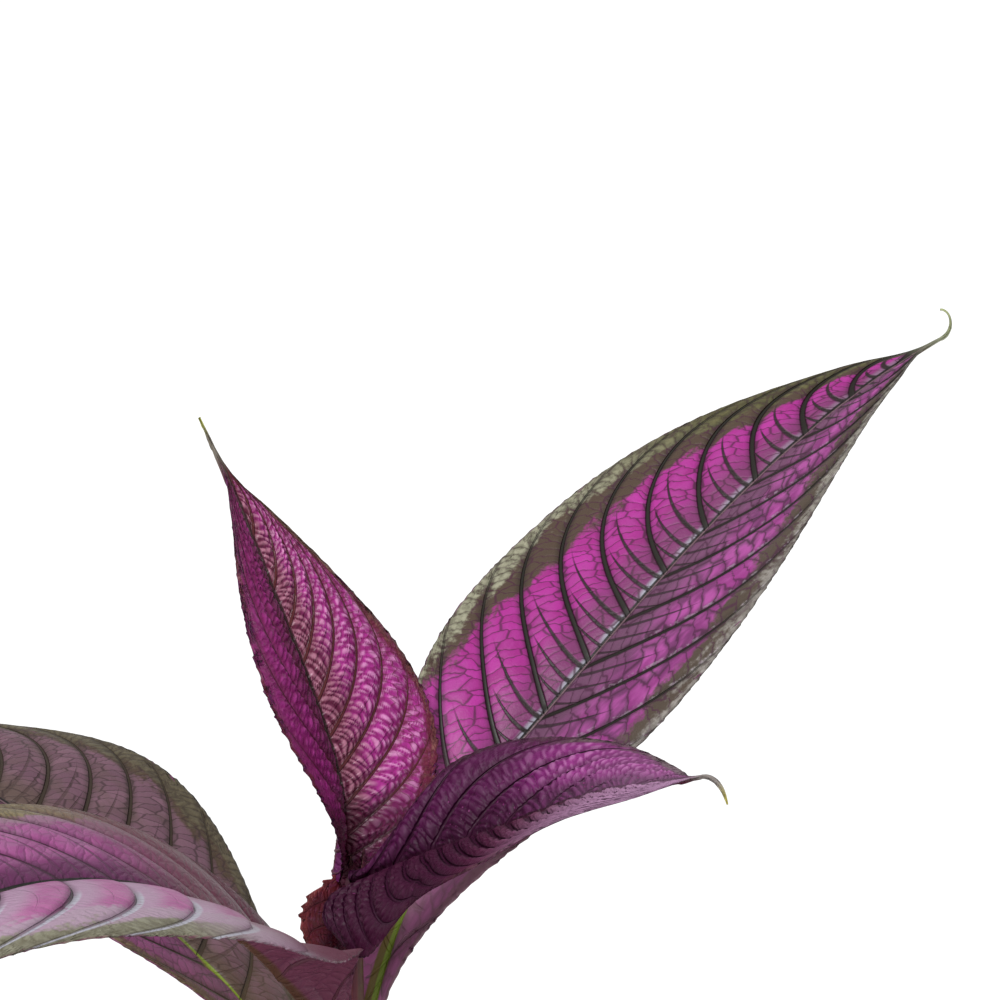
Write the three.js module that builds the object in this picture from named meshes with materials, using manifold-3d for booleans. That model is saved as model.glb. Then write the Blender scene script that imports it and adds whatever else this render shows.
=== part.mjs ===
// Potted persian shield: one young shoot of stalkless, eared leaves in a round plastic pot.
// Millimetres, +Z up. The origin is the centre of the pot's underside.

import * as THREE from 'three'
import { mergeVertices } from 'three/addons/utils/BufferGeometryUtils.js'
import Module from 'manifold-3d'

const wasm = await Module()
wasm.setup()

// Pot: a round tapered tub with a rim band and drain holes near the edge of its floor
const POT_HEIGHT = 115
const POT_BASE_RADIUS = 46
const POT_NECK_RADIUS = 62.4
const POT_RIM_RADIUS = 65
const POT_WALL = 2
const POT_BAND_HEIGHT = 14
const POT_BAND_STEP = 1.8
const POT_EDGE = 1.2
const POT_SIDES = 64
const DRAIN_HOLES = 8
const DRAIN_RADIUS = 4
const DRAIN_CIRCLE = 36

// Soil: fills the pot to a little below the rim, with a plain hole that the stem stands in
const SEAT_GAP = 0.3
const SOIL_TOP = 103
const SOIL_EDGE_DROP = 3
const SOIL_SIDES = 48
const SOIL_RINGS = 9
// Waves of its uneven top: height, and how far each turns for a millimetre of x and of y
const SOIL_WAVES = [
  { height: 0.8, perX: 0.19, perY: 0.21 },
  { height: 0.5, perX: 0.34, perY: -0.27 },
  { height: 0.8, perX: -0.08, perY: 0.06 },
]

// Stem: four-angled, thinner towards the end bud, swollen under each pair of leaves
const STEM_FOOT = 62
const STEM_FOOT_RADIUS = 3
const STEM_TOP_RADIUS = 1.3
const STEM_SQUARENESS = 0.07
const STEM_SWELLING = 0.2
const SWELLING_LENGTH = 2.2
const SWELLING_BELOW_NODE = 4
const STEM_SIDES = 16
const BUD_HEIGHT = 3

// Heights of the leaf pairs on the stem, from the soil up
const NODE_HEIGHTS = { first: 123.5, second: 143.5, third: 166.5, fourth: 188.5, top: 217.5 }

// Leaf blade
const BLADE_THICKNESS = 0.8
const STALK_HALF_WIDTH = 2
const POINT_HALF_WIDTH = 0.6
const RIB_SHARE = 0.6
const KEEL_DEPTH = 1.5
const TAPER = 1.5
const EAR_REACH = 0.24
const EAR_TURN = 45
const VEIN_SWEEP = 0.105
const VEIN_SWEEP_END = 0.88
const SCALLOP = 0.025
const SPINE_STEPS = 400
const BLADE_COLUMNS = 3
const EXTRA_BASE_ROW = 0.02
const TIP_ROWS = [0.968, 0.984, 1]

// The leaves. bearing (0 is +X, 90 is +Y), rise above the horizontal and twist about the midrib
// are degrees at even steps from base to tip; so are the fold of each half up from flat, and its
// curl down towards the margin. base is where the midrib starts, outwards from the stem's axis.
const LEAVES = {
  leaf_back_right: {
    node: 'fourth', base: [2.5, 2], length: 191, halfWidth: 31.5, fullness: 1.02,
    bearing: [35, 34, 39, 35, 32], rise: [76, 44, 38, 32, 21], twist: [22, 3, 5],
    left: { fold: [31, 36, 22, 24, 12], curl: [7, 14, 11], ear: 2 },
    right: { fold: [23, 12, 16, 16, 19], curl: [26, 18, 11], ear: 0.5 },
    earSweep: 0.5, hook: 153, hookLength: 7, veinPairs: 11, pucker: 0.6,
  },
  leaf_front_left: {
    node: 'fourth', base: [-2.4, -2.6], length: 191, halfWidth: 31.5, fullness: 0.86,
    bearing: [239, 245, 233, 229, 220], rise: [44, 31, 12, -14, -38], twist: [-22, -11, -22],
    left: { fold: [49, 24, 31, 31, 7], curl: [-8, 60, 41], ear: 1 },
    right: { fold: [38, 27, 19, 20, 11], curl: [-6, 28, 12], ear: -0.5 },
    earSweep: 0.4, hook: -40, hookLength: 8, veinPairs: 11, pucker: 0.8,
  },
  leaf_back_left: {
    node: 'third', base: [-2.7, 2], length: 180, halfWidth: 30, fullness: 1,
    bearing: [142, 143, 140, 143, 148], rise: [52, 32, 20, 10, -3], twist: [9, -4, 4],
    left: { fold: [26, 20, 22, 16, 10], curl: [15, 17, 20], ear: 1 },
    right: { fold: [12, 16, 20, 11, 9], curl: [20, 15, 22], ear: 2.5 },
    earSweep: 0.5, hook: -40, hookLength: 8, veinPairs: 11, pucker: 0.6,
  },
  leaf_front_right: {
    node: 'third', base: [2.4, -1.9], length: 176, halfWidth: 29, fullness: 0.95,
    bearing: [318, 320, 322, 318, 312], rise: [38, 16, -4, -22, -36], twist: [0, 4, 8],
    left: { fold: [24, 18, 14, 12, 8], curl: [20, 24, 20], ear: 1 },
    right: { fold: [20, 16, 14, 12, 8], curl: [20, 24, 20], ear: 1 },
    earSweep: 0.5, hook: -40, hookLength: 8, veinPairs: 11, pucker: 0.6,
  },
  leaf_young_left: {
    node: 'top', base: [-2.7, 2.2], length: 91, halfWidth: 24.5, fullness: 0.68,
    bearing: [139, 141, 142, 139, 141], rise: [103, 74, 62, 57, 57], twist: [-4, 0, 20],
    left: { fold: [48, 33, 27, 21, 21], curl: [-1, 17, -1], ear: 0 },
    right: { fold: [42, 16, 18, 19, 1], curl: [-5, 29, 15], ear: -0.5 },
    earSweep: 0.5, hook: 0, hookLength: 6, veinPairs: 12, pucker: 0.5,
    lobe: {
      node: 'top', base: [-2.5, 0.9], length: 15.5, halfWidth: 5.5, fullness: 0.82,
      bearing: [190, 197, 204], rise: [-62, -66, -70], twist: [-105, -100, -95],
      left: { fold: [-10, -10, -10], curl: [5, 5, 5], ear: -0.6 },
      right: { fold: [6, 6, 6], curl: [10, 10, 10], ear: 0.8 },
      earSweep: 0, hook: 0, hookLength: 1, veinPairs: 5, pucker: 0.2,
    },
  },
  leaf_young_right: {
    node: 'top', base: [-0.6, -2.1], length: 99, halfWidth: 21, fullness: 0.75,
    bearing: [319, 326, 318, 310, 311], rise: [27, 23, 24, 15, 21], twist: [63, 20, 11],
    left: { fold: [11, 20, 20, 9, -1], curl: [23, 18, 33], ear: -2.5 },
    right: { fold: [23, 29, 3, 5, 9], curl: [56, 1, 35], ear: 10 },
    earSweep: 0.47, hook: -100, hookLength: 9, veinPairs: 12, pucker: 0.5,
  },
  leaf_low_right: {
    node: 'second', base: [2.1, 2.7], length: 150, halfWidth: 27, fullness: 0.95,
    bearing: [52, 54, 50, 46, 44], rise: [42, 24, 4, -20, -38], twist: [0, -4, -8],
    left: { fold: [22, 16, 14, 12, 8], curl: [20, 26, 24], ear: 2 },
    right: { fold: [22, 16, 14, 12, 8], curl: [20, 26, 24], ear: 2 },
    earSweep: 0.5, hook: -40, hookLength: 8, veinPairs: 10, pucker: 0.6,
  },
  leaf_low_left: {
    node: 'second', base: [-2.1, -2.7], length: 146, halfWidth: 26.5, fullness: 0.95,
    bearing: [230, 228, 234, 238, 236], rise: [40, 20, 0, -24, -42], twist: [0, 5, 8],
    left: { fold: [22, 16, 14, 12, 8], curl: [20, 28, 24], ear: 2 },
    right: { fold: [22, 16, 14, 12, 8], curl: [20, 28, 24], ear: 2 },
    earSweep: 0.5, hook: -40, hookLength: 8, veinPairs: 10, pucker: 0.6,
  },
  leaf_first_left: {
    node: 'first', base: [-2.8, 2.4], length: 112, halfWidth: 22, fullness: 0.95,
    bearing: [140, 136, 134, 138, 140], rise: [38, 16, -10, -36, -52], twist: [0, 6, 10],
    left: { fold: [20, 14, 12, 10, 8], curl: [20, 28, 26], ear: 1.5 },
    right: { fold: [20, 14, 12, 10, 8], curl: [20, 28, 26], ear: 1.5 },
    earSweep: 0.5, hook: -30, hookLength: 6, veinPairs: 9, pucker: 0.5,
  },
  leaf_first_right: {
    node: 'first', base: [2.8, -2.4], length: 118, halfWidth: 23, fullness: 0.95,
    bearing: [320, 324, 326, 322, 320], rise: [38, 18, -6, -32, -50], twist: [0, -6, -10],
    left: { fold: [20, 14, 12, 10, 8], curl: [20, 28, 26], ear: 1.5 },
    right: { fold: [20, 14, 12, 10, 8], curl: [20, 28, 26], ear: 1.5 },
    earSweep: 0.5, hook: -30, hookLength: 6, veinPairs: 9, pucker: 0.5,
  },
}

const MATERIALS = {
  pot: new THREE.MeshStandardMaterial({ color: 0x2b2c2e, roughness: 0.6, metalness: 0 }),
  soil: new THREE.MeshStandardMaterial({ color: 0x3a2a1e, roughness: 1, metalness: 0 }),
  stem: new THREE.MeshStandardMaterial({ color: 0x6d7a35, roughness: 0.6, metalness: 0 }),
  grown: new THREE.MeshStandardMaterial({ color: 0x8c3a83, roughness: 0.45, metalness: 0.1 }),
  young: new THREE.MeshStandardMaterial({ color: 0xa02f8c, roughness: 0.4, metalness: 0.1 }),
}

// Value of evenly spaced keys at s from 0 to 1, on one smooth curve through them
function along(keys, s) {
  const last = keys.length - 1
  const place = Math.min(s * last, last - 1e-9)
  const i = Math.floor(place)
  const f = place - i
  const before = keys[Math.max(i - 1, 0)]
  const after = keys[Math.min(i + 2, last)]
  const slopeIn = (keys[i + 1] - before) / 2
  const slopeOut = (after - keys[i]) / 2
  return (2 * f ** 3 - 3 * f ** 2 + 1) * keys[i] + (f ** 3 - 2 * f ** 2 + f) * slopeIn
    + (-2 * f ** 3 + 3 * f ** 2) * keys[i + 1] + (f ** 3 - f ** 2) * slopeOut
}

// Frame of the midrib at s: the way it runs, the blade's left and its upper side
function midribFrame(leaf, s) {
  const hookStart = 1 - leaf.hookLength / leaf.length
  const hook = leaf.hook * THREE.MathUtils.clamp((s - hookStart) / (1 - hookStart), 0, 1)
  const bearing = THREE.MathUtils.degToRad(along(leaf.bearing, s))
  const rise = THREE.MathUtils.degToRad(along(leaf.rise, s) + hook)
  const twist = THREE.MathUtils.degToRad(along(leaf.twist, s))
  const ahead = new THREE.Vector3(Math.cos(bearing), Math.sin(bearing), 0)
  const run = ahead.multiplyScalar(Math.cos(rise)).setZ(Math.sin(rise))
  const level = new THREE.Vector3(-Math.sin(bearing), Math.cos(bearing), 0)
  const over = run.clone().cross(level)
  const left = level.clone().multiplyScalar(Math.cos(twist)).addScaledVector(over, Math.sin(twist))
  const up = over.clone().multiplyScalar(Math.cos(twist)).addScaledVector(level, -Math.sin(twist))
  return { run, left, up, level }
}

// Points of the midrib at even steps of its length
function midribPoints(leaf) {
  const start = new THREE.Vector3(leaf.base[0], leaf.base[1], NODE_HEIGHTS[leaf.node])
  const points = [start]
  const step = leaf.length / SPINE_STEPS
  for (let i = 0; i < SPINE_STEPS; i++) {
    const { run } = midribFrame(leaf, (i + 0.5) / SPINE_STEPS)
    points.push(points[i].clone().addScaledVector(run, step))
  }
  return points
}

function midribPoint(points, s) {
  const place = Math.min(s * SPINE_STEPS, SPINE_STEPS - 1e-9)
  const i = Math.floor(place)
  return points[i].clone().lerp(points[i + 1], place - i)
}

// Half width that is left where the blade runs out, at its base and in its drawn-out point
function leastHalfWidth(leaf, s) {
  const scale = THREE.MathUtils.clamp(leaf.length / 90, 0.5, 1)
  return scale * THREE.MathUtils.lerp(STALK_HALF_WIDTH, POINT_HALF_WIDTH, s)
}

// Half width of the blade: an ellipse drawn out to a long tip, and an ear at the base
function halfWidth(leaf, half, s) {
  const blade = leaf.halfWidth * Math.sin(Math.PI * s ** leaf.fullness) ** TAPER
  const ear = half.ear * Math.sin(Math.PI * (0.25 + 0.75 * Math.min(1, s / EAR_REACH)))
  return Math.hypot(blade + ear, leastHalfWidth(leaf, s))
}

// Side veins run forward as they near the margin, and the rows of the blade follow them
function rowPlace(row, t) {
  return Math.min(1, row - 4 * row * (1 - row) * VEIN_SWEEP * Math.log(1 - VEIN_SWEEP_END * t))
}

function bladePoint(leaf, spine, row, t, side) {
  const half = side > 0 ? leaf.left : leaf.right
  const s = rowPlace(row, t)
  const { run, left, up, level } = midribFrame(leaf, s)
  const fold = THREE.MathUtils.degToRad(along(half.fold, s))
  const curl = THREE.MathUtils.degToRad(along(half.curl, s)) || 1e-3
  const between = 0.5 - 0.5 * Math.cos(2 * Math.PI * leaf.veinPairs * row)
  const width = halfWidth(leaf, half, s) * (1 + SCALLOP * (between - 0.5) * t ** 4)
  const out = width * (Math.sin(fold) - Math.sin(fold - curl * t)) / curl
  const lift = width * (Math.cos(fold - curl * t) - Math.cos(fold)) / curl
  const sweep = half.ear * leaf.earSweep * Math.max(0, 1 - s / EAR_REACH) * (1 - (1 - t) ** 4)
  const turn = THREE.MathUtils.degToRad(EAR_TURN)
  const swell = leaf.pucker * (2 * between - 1) * Math.sin(Math.PI * t ** 0.8) * Math.min(1, width / 12)
  return midribPoint(spine, s)
    .addScaledVector(left, side * out)
    .addScaledVector(up, lift + swell)
    .addScaledVector(run, -sweep * Math.cos(turn))
    .addScaledVector(level, side * sweep * Math.sin(turn))
}

// Rows of the blade: two for each pair of side veins, and more at the base and the hooked tip
function bladeRows(leaf) {
  const rows = [0, EXTRA_BASE_ROW]
  for (let i = 1; i < 2 * leaf.veinPairs; i++) {
    const row = i / (2 * leaf.veinPairs)
    if (row < TIP_ROWS[0] - 0.01) rows.push(row)
  }
  return rows.concat(TIP_ROWS)
}

// Columns from the left margin over the midrib to the right margin, as side and distance
function bladeColumns() {
  const columns = [{ side: 1, rib: true, share: 0 }]
  for (const side of [1, -1]) {
    for (let i = 0; i <= BLADE_COLUMNS; i++) {
      const column = { side, rib: false, share: i / BLADE_COLUMNS }
      if (side > 0) columns.unshift(column)
      else columns.push(column)
    }
  }
  return columns
}

// Closed solid of one leaf: an upper and a lower skin with alike triangles, a keel under the
// midrib and a wall along the margin
function leafGeometry(leaf) {
  const spine = midribPoints(leaf)
  const rows = bladeRows(leaf)
  const columns = bladeColumns()
  const middle = []
  for (const row of rows) {
    for (const { side, rib, share } of columns) {
      const half = side > 0 ? leaf.left : leaf.right
      const width = halfWidth(leaf, half, row)
      const ribWidth = RIB_SHARE * leastHalfWidth(leaf, row)
      const t = rib ? 0 : (ribWidth + (width - ribWidth) * share) / width
      middle.push(bladePoint(leaf, spine, row, t, side))
    }
  }
  const wide = columns.length
  const skin = []
  for (let i = 0; i < rows.length - 1; i++) {
    for (let j = 0; j < wide - 1; j++) {
      const a = i * wide + j
      skin.push([a, a + 1, a + wide + 1], [a, a + wide + 1, a + wide])
    }
  }
  const sheet = solidGeometry(middle, skin)
  sheet.computeVertexNormals()
  const normals = sheet.getAttribute('normal')

  const upper = []
  const lower = []
  middle.forEach((point, k) => {
    const normal = new THREE.Vector3().fromBufferAttribute(normals, k)
    const row = rows[Math.floor(k / wide)]
    const ribDepth = KEEL_DEPTH * leastHalfWidth(leaf, row) / STALK_HALF_WIDTH
    const keel = columns[k % wide].rib ? ribDepth : 0
    upper.push(point.clone().addScaledVector(normal, BLADE_THICKNESS / 2))
    lower.push(point.clone().addScaledVector(normal, -BLADE_THICKNESS / 2 - keel))
  })
  const count = middle.length
  const faces = []
  for (const [a, b, c] of skin) {
    faces.push([a, b, c], [count + a, count + c, count + b])
  }
  const rim = rimLoop(rows.length, wide)
  rim.forEach((a, k) => {
    const b = rim[(k + 1) % rim.length]
    faces.push([b, a, count + a], [b, count + a, count + b])
  })
  return solidGeometry(upper.concat(lower), faces)
}

// A leaf whose base has grown out into a rounded lobe beside the stem
function withLobe(leaf) {
  return toGeometry(toSolid(leafGeometry(leaf)).add(toSolid(leafGeometry(leaf.lobe))))
}

// Indices round the edge of a grid, in the turning sense of its triangles
function rimLoop(high, wide) {
  const loop = []
  for (let j = 0; j < wide - 1; j++) loop.push(j)
  for (let i = 0; i < high - 1; i++) loop.push(i * wide + wide - 1)
  for (let j = wide - 1; j > 0; j--) loop.push((high - 1) * wide + j)
  for (let i = high - 1; i > 0; i--) loop.push(i * wide)
  return loop
}

function solidGeometry(points, faces) {
  const geometry = new THREE.BufferGeometry().setFromPoints(points)
  geometry.setIndex(faces.flat())
  return geometry
}

// Closed solid through rings of points, with a flat fan at each end
function ringSolid(rings) {
  const around = rings[0].length
  const points = rings.flat()
  const faces = []
  for (let i = 0; i < rings.length - 1; i++) {
    for (let j = 0; j < around; j++) {
      const a = i * around + j
      const b = i * around + (j + 1) % around
      faces.push([a, b, b + around], [a, b + around, a + around])
    }
  }
  const top = (rings.length - 1) * around
  for (let j = 1; j < around - 1; j++) {
    faces.push([0, j + 1, j], [top, top + j, top + j + 1])
  }
  return solidGeometry(points, faces)
}

function stemRadius(height) {
  const climb = THREE.MathUtils.clamp((height - SOIL_TOP) / (NODE_HEIGHTS.top - SOIL_TOP), 0, 1)
  const radius = THREE.MathUtils.lerp(STEM_FOOT_RADIUS, STEM_TOP_RADIUS, climb ** 1.2)
  let swelling = 0
  for (const node of Object.values(NODE_HEIGHTS)) {
    const away = (height - node + SWELLING_BELOW_NODE) / SWELLING_LENGTH
    swelling += STEM_SWELLING * Math.exp(-away * away)
  }
  return radius * (1 + swelling)
}

function stemGeometry() {
  const heights = [STEM_FOOT, SOIL_TOP - 6, SOIL_TOP + 4]
  for (const node of Object.values(NODE_HEIGHTS)) {
    for (const below of [9, 6.5, 4, 1.5]) heights.push(node - below)
  }
  const rings = heights.map((height) => stemRing(height, stemRadius(height)))
  const top = NODE_HEIGHTS.top
  rings.push(stemRing(top, STEM_TOP_RADIUS))
  rings.push(stemRing(top + BUD_HEIGHT / 2, STEM_TOP_RADIUS * 0.7))
  rings.push(stemRing(top + BUD_HEIGHT, STEM_TOP_RADIUS * 0.3))
  return ringSolid(rings)
}

function stemRing(height, radius) {
  const ring = []
  for (let j = 0; j < STEM_SIDES; j++) {
    const angle = 2 * Math.PI * j / STEM_SIDES
    const r = radius * (1 + STEM_SQUARENESS * Math.cos(4 * angle))
    ring.push(new THREE.Vector3(r * Math.cos(angle), r * Math.sin(angle), height))
  }
  return ring
}

// Radius of the pot's wall at a height, outside and inside
function potOutside(height) {
  return THREE.MathUtils.lerp(POT_BASE_RADIUS, POT_NECK_RADIUS, height / POT_HEIGHT)
}

function potInside(height) {
  return potOutside(height) - POT_WALL
}

function latheGeometry(profile, sides) {
  const lathe = new THREE.LatheGeometry(profile.map(([r, z]) => new THREE.Vector2(r, z)), sides)
  lathe.rotateX(Math.PI / 2)
  lathe.deleteAttribute('normal')
  lathe.deleteAttribute('uv')
  return mergeVertices(lathe, 1e-4)
}

function potGeometry() {
  const bandFoot = POT_HEIGHT - POT_BAND_HEIGHT
  const profile = [
    [0, 0],
    [POT_BASE_RADIUS - POT_EDGE, 0],
    [potOutside(POT_EDGE), POT_EDGE],
    [potOutside(bandFoot), bandFoot],
    [potOutside(bandFoot) + POT_BAND_STEP, bandFoot + POT_EDGE],
    [POT_RIM_RADIUS, POT_HEIGHT - POT_EDGE],
    [POT_RIM_RADIUS - POT_EDGE, POT_HEIGHT],
    [potInside(POT_HEIGHT) + POT_EDGE / 2, POT_HEIGHT],
    [potInside(POT_HEIGHT), POT_HEIGHT - POT_EDGE / 2],
    [potInside(POT_WALL), POT_WALL],
    [0, POT_WALL],
  ]
  let pot = toSolid(latheGeometry(profile, POT_SIDES))
  for (let i = 0; i < DRAIN_HOLES; i++) {
    const angle = 2 * Math.PI * (i + 0.5) / DRAIN_HOLES
    const hole = new THREE.CylinderGeometry(DRAIN_RADIUS, DRAIN_RADIUS, 3 * POT_WALL, 20)
    hole.rotateX(Math.PI / 2)
    hole.translate(DRAIN_CIRCLE * Math.cos(angle), DRAIN_CIRCLE * Math.sin(angle), POT_WALL / 2)
    pot = pot.subtract(toSolid(hole))
  }
  return toGeometry(pot)
}

// Radius that the soil fills at a height: the pot's inside is a polygon, so less than its corners
function soilEdge(height) {
  return potInside(height) * Math.cos(Math.PI / POT_SIDES) - SEAT_GAP
}

function soilGeometry() {
  const holeRadius = STEM_FOOT_RADIUS * (1 + STEM_SQUARENESS) + SEAT_GAP
  const foot = POT_WALL + SEAT_GAP
  const edge = soilEdge(SOIL_TOP - 2 * SOIL_EDGE_DROP)
  const profile = [[0, foot], [soilEdge(foot), foot]]
  for (let i = SOIL_RINGS; i >= 0; i--) {
    profile.push([THREE.MathUtils.lerp(holeRadius, edge, i / SOIL_RINGS), SOIL_TOP])
  }
  profile.push([holeRadius, STEM_FOOT - SEAT_GAP], [0, STEM_FOOT - SEAT_GAP])
  const soil = latheGeometry(profile, SOIL_SIDES)
  const place = soil.getAttribute('position')
  for (let k = 0; k < place.count; k++) {
    if (place.getZ(k) > SOIL_TOP - SEAT_GAP) {
      const radius = Math.hypot(place.getX(k), place.getY(k))
      const drop = radius > edge - SEAT_GAP ? SOIL_EDGE_DROP : 0
      place.setZ(k, SOIL_TOP + soilLump(place.getX(k), place.getY(k)) - drop)
    }
  }
  return soil
}

function soilLump(x, y) {
  return SOIL_WAVES.reduce((sum, wave) => sum + wave.height * Math.sin(wave.perX * x + wave.perY * y), 0)
}

function toSolid(geometry) {
  const bare = geometry.clone()
  bare.deleteAttribute('normal')
  bare.deleteAttribute('uv')
  const merged = mergeVertices(bare, 1e-4)
  return new wasm.Manifold(new wasm.Mesh({
    numProp: 3,
    vertProperties: new Float32Array(merged.getAttribute('position').array),
    triVerts: new Uint32Array(merged.getIndex().array),
  }))
}

function toGeometry(solid) {
  const mesh = solid.getMesh()
  const geometry = new THREE.BufferGeometry()
  geometry.setAttribute('position', new THREE.BufferAttribute(new Float32Array(mesh.vertProperties), 3))
  geometry.setIndex(new THREE.BufferAttribute(new Uint32Array(mesh.triVerts), 1))
  return geometry
}

const plant = new THREE.Group()

function addPiece(name, geometry, material) {
  geometry.computeVertexNormals()
  const piece = new THREE.Mesh(geometry, material)
  piece.name = name
  plant.add(piece)
}

addPiece('pot', potGeometry(), MATERIALS.pot)
addPiece('soil', soilGeometry(), MATERIALS.soil)
addPiece('stem', stemGeometry(), MATERIALS.stem)
for (const [name, leaf] of Object.entries(LEAVES)) {
  let material = MATERIALS.grown
  if (leaf.node === 'top') material = MATERIALS.young
  addPiece(name, leaf.lobe ? withLobe(leaf) : leafGeometry(leaf), material)
}

export default plant
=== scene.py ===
# Potted persian shield: the looks of the leaves, stem, soil and pot. Metres, +Z up.
import math
import random

import bpy
import numpy as np
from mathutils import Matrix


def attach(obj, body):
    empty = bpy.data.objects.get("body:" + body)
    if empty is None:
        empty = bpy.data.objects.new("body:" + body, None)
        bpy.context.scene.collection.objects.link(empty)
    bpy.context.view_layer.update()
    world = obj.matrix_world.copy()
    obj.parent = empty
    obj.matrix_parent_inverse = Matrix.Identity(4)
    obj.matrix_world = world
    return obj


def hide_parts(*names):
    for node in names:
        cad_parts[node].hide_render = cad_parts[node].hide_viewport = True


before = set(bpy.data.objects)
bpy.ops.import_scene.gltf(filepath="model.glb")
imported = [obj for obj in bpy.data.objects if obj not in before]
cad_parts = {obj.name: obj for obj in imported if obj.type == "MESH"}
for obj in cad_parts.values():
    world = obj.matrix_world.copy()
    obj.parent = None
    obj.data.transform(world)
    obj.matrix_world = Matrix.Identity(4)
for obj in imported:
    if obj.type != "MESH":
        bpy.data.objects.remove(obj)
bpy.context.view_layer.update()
bpy.ops.object.select_all(action="DESELECT")

MM = 0.001

# Heights of the leaf pairs on the stem
NODE_HEIGHTS = {"first": 123.5, "second": 143.5, "third": 166.5, "fourth": 188.5, "top": 217.5}

# Leaf blade, in millimetres, as in the solids but for a finer point. POINT_SHARE and EAR_REACH
# are shares of its length, and VEIN_SWEEP_END, below 1, is how sharply its side veins bend
# forward at the margin. At MIDRIB_FLANK from the midrib the skins take the slope of the blade,
# FULL_RELIEF_WIDTH is the half width with full pillows, and the margin is round over EDGE_ROUND.
STALK_HALF_WIDTH = 2
POINT_HALF_WIDTH = 0.42
POINT_SHARE = 0.05
TAPER = 1.5
EAR_REACH = 0.24
EAR_TURN = math.radians(45)
VEIN_SWEEP_END = 0.88
MIDRIB_DEPTH = 1.5
MIDRIB_HALF_WIDTH = 1.3
MIDRIB_FLANK = 1.4
SIDE_RIB_DEPTH = 0.22
GROOVE_HALF_WIDTH = 0.7
FULL_RELIEF_WIDTH = 12
EDGE_ROUND = 0.35

# Steps in which the midrib and a side vein are measured, and the one that slopes are taken over
MIDRIB_STEPS = 400
VEIN_STEPS = 24
SLOPE_STEP = 1e-3

# How a leaf is drawn out of its grid. rows and columns are faces on the upper side, under is
# faces across the underside, and row_ease above 1 sets the rows closer at the base. Two numbers
# in brackets are for the left and the right half. share is how much of half_width a half takes.
# pairs is how many side veins a half has, sweep how far they run forward, phase where the
# first one leaves the midrib, and vein_ease below 1 sets them closer at the base. pucker is the
# height of the pillows between veins and slant puts their crest nearer the base. ripple is the
# height of the small ridges across them, ripple_step their spacing and knobs the lumps in each.
# tooth is the depth of the margin's teeth, tooth_step their spacing, toothed_to where they end
# and recurve how far they turn down. groove is the depth of the channel over the midrib and
# ear_sweep how far the ears at the base reach back for their size. tail is the share of the
# length in which the tip is drawn out thin, and over its last hook_length it turns up by hook
# degrees. Lengths are in millimetres.
GROWN = dict(
    rows=330, columns=96, under=30, row_ease=1.1, thickness=0.45, share=[1, 1],
    pairs=[14.8, 14.8], sweep=0.11, vein_ease=1, phase=[-0.35, -0.2], pucker=[0.5, 0.5],
    slant=[1, 1], ripple=0.05, ripple_step=2.3, knobs=1, tooth=0.45, tooth_step=2.6,
    toothed_to=1, recurve=0.2, groove=0.45, ear_sweep=0.5, tail=0.09, hook=-40, hook_length=8,
)
LOWER = dict(GROWN, rows=250, columns=64, under=24, pairs=[12, 12], fullness=0.95)
YOUNG = dict(
    GROWN, rows=390, columns=170, under=44, row_ease=1.65, thickness=0.38, pairs=[10.7, 10.7],
    vein_ease=0.7, sweep=0.3, phase=[-0.5, -0.5], pucker=[0.45, 0.5], ripple=0.6,
    ripple_step=1.35, knobs=2.3, tooth=1.3, tooth_step=1.9, toothed_to=0.95, recurve=0.25,
    groove=0.35, tail=0.15,
)


def alike(**half):
    """The same values for the left and the right half of a blade."""
    return dict(left=half, right=half)


# The lowest pair
FIRST = dict(
    LOWER, node="first", rows=200, hook=-30, hook_length=6,
    **alike(fold=[20, 14, 12, 10, 8], curl=[20, 28, 26], ear=1.5),
)

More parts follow.
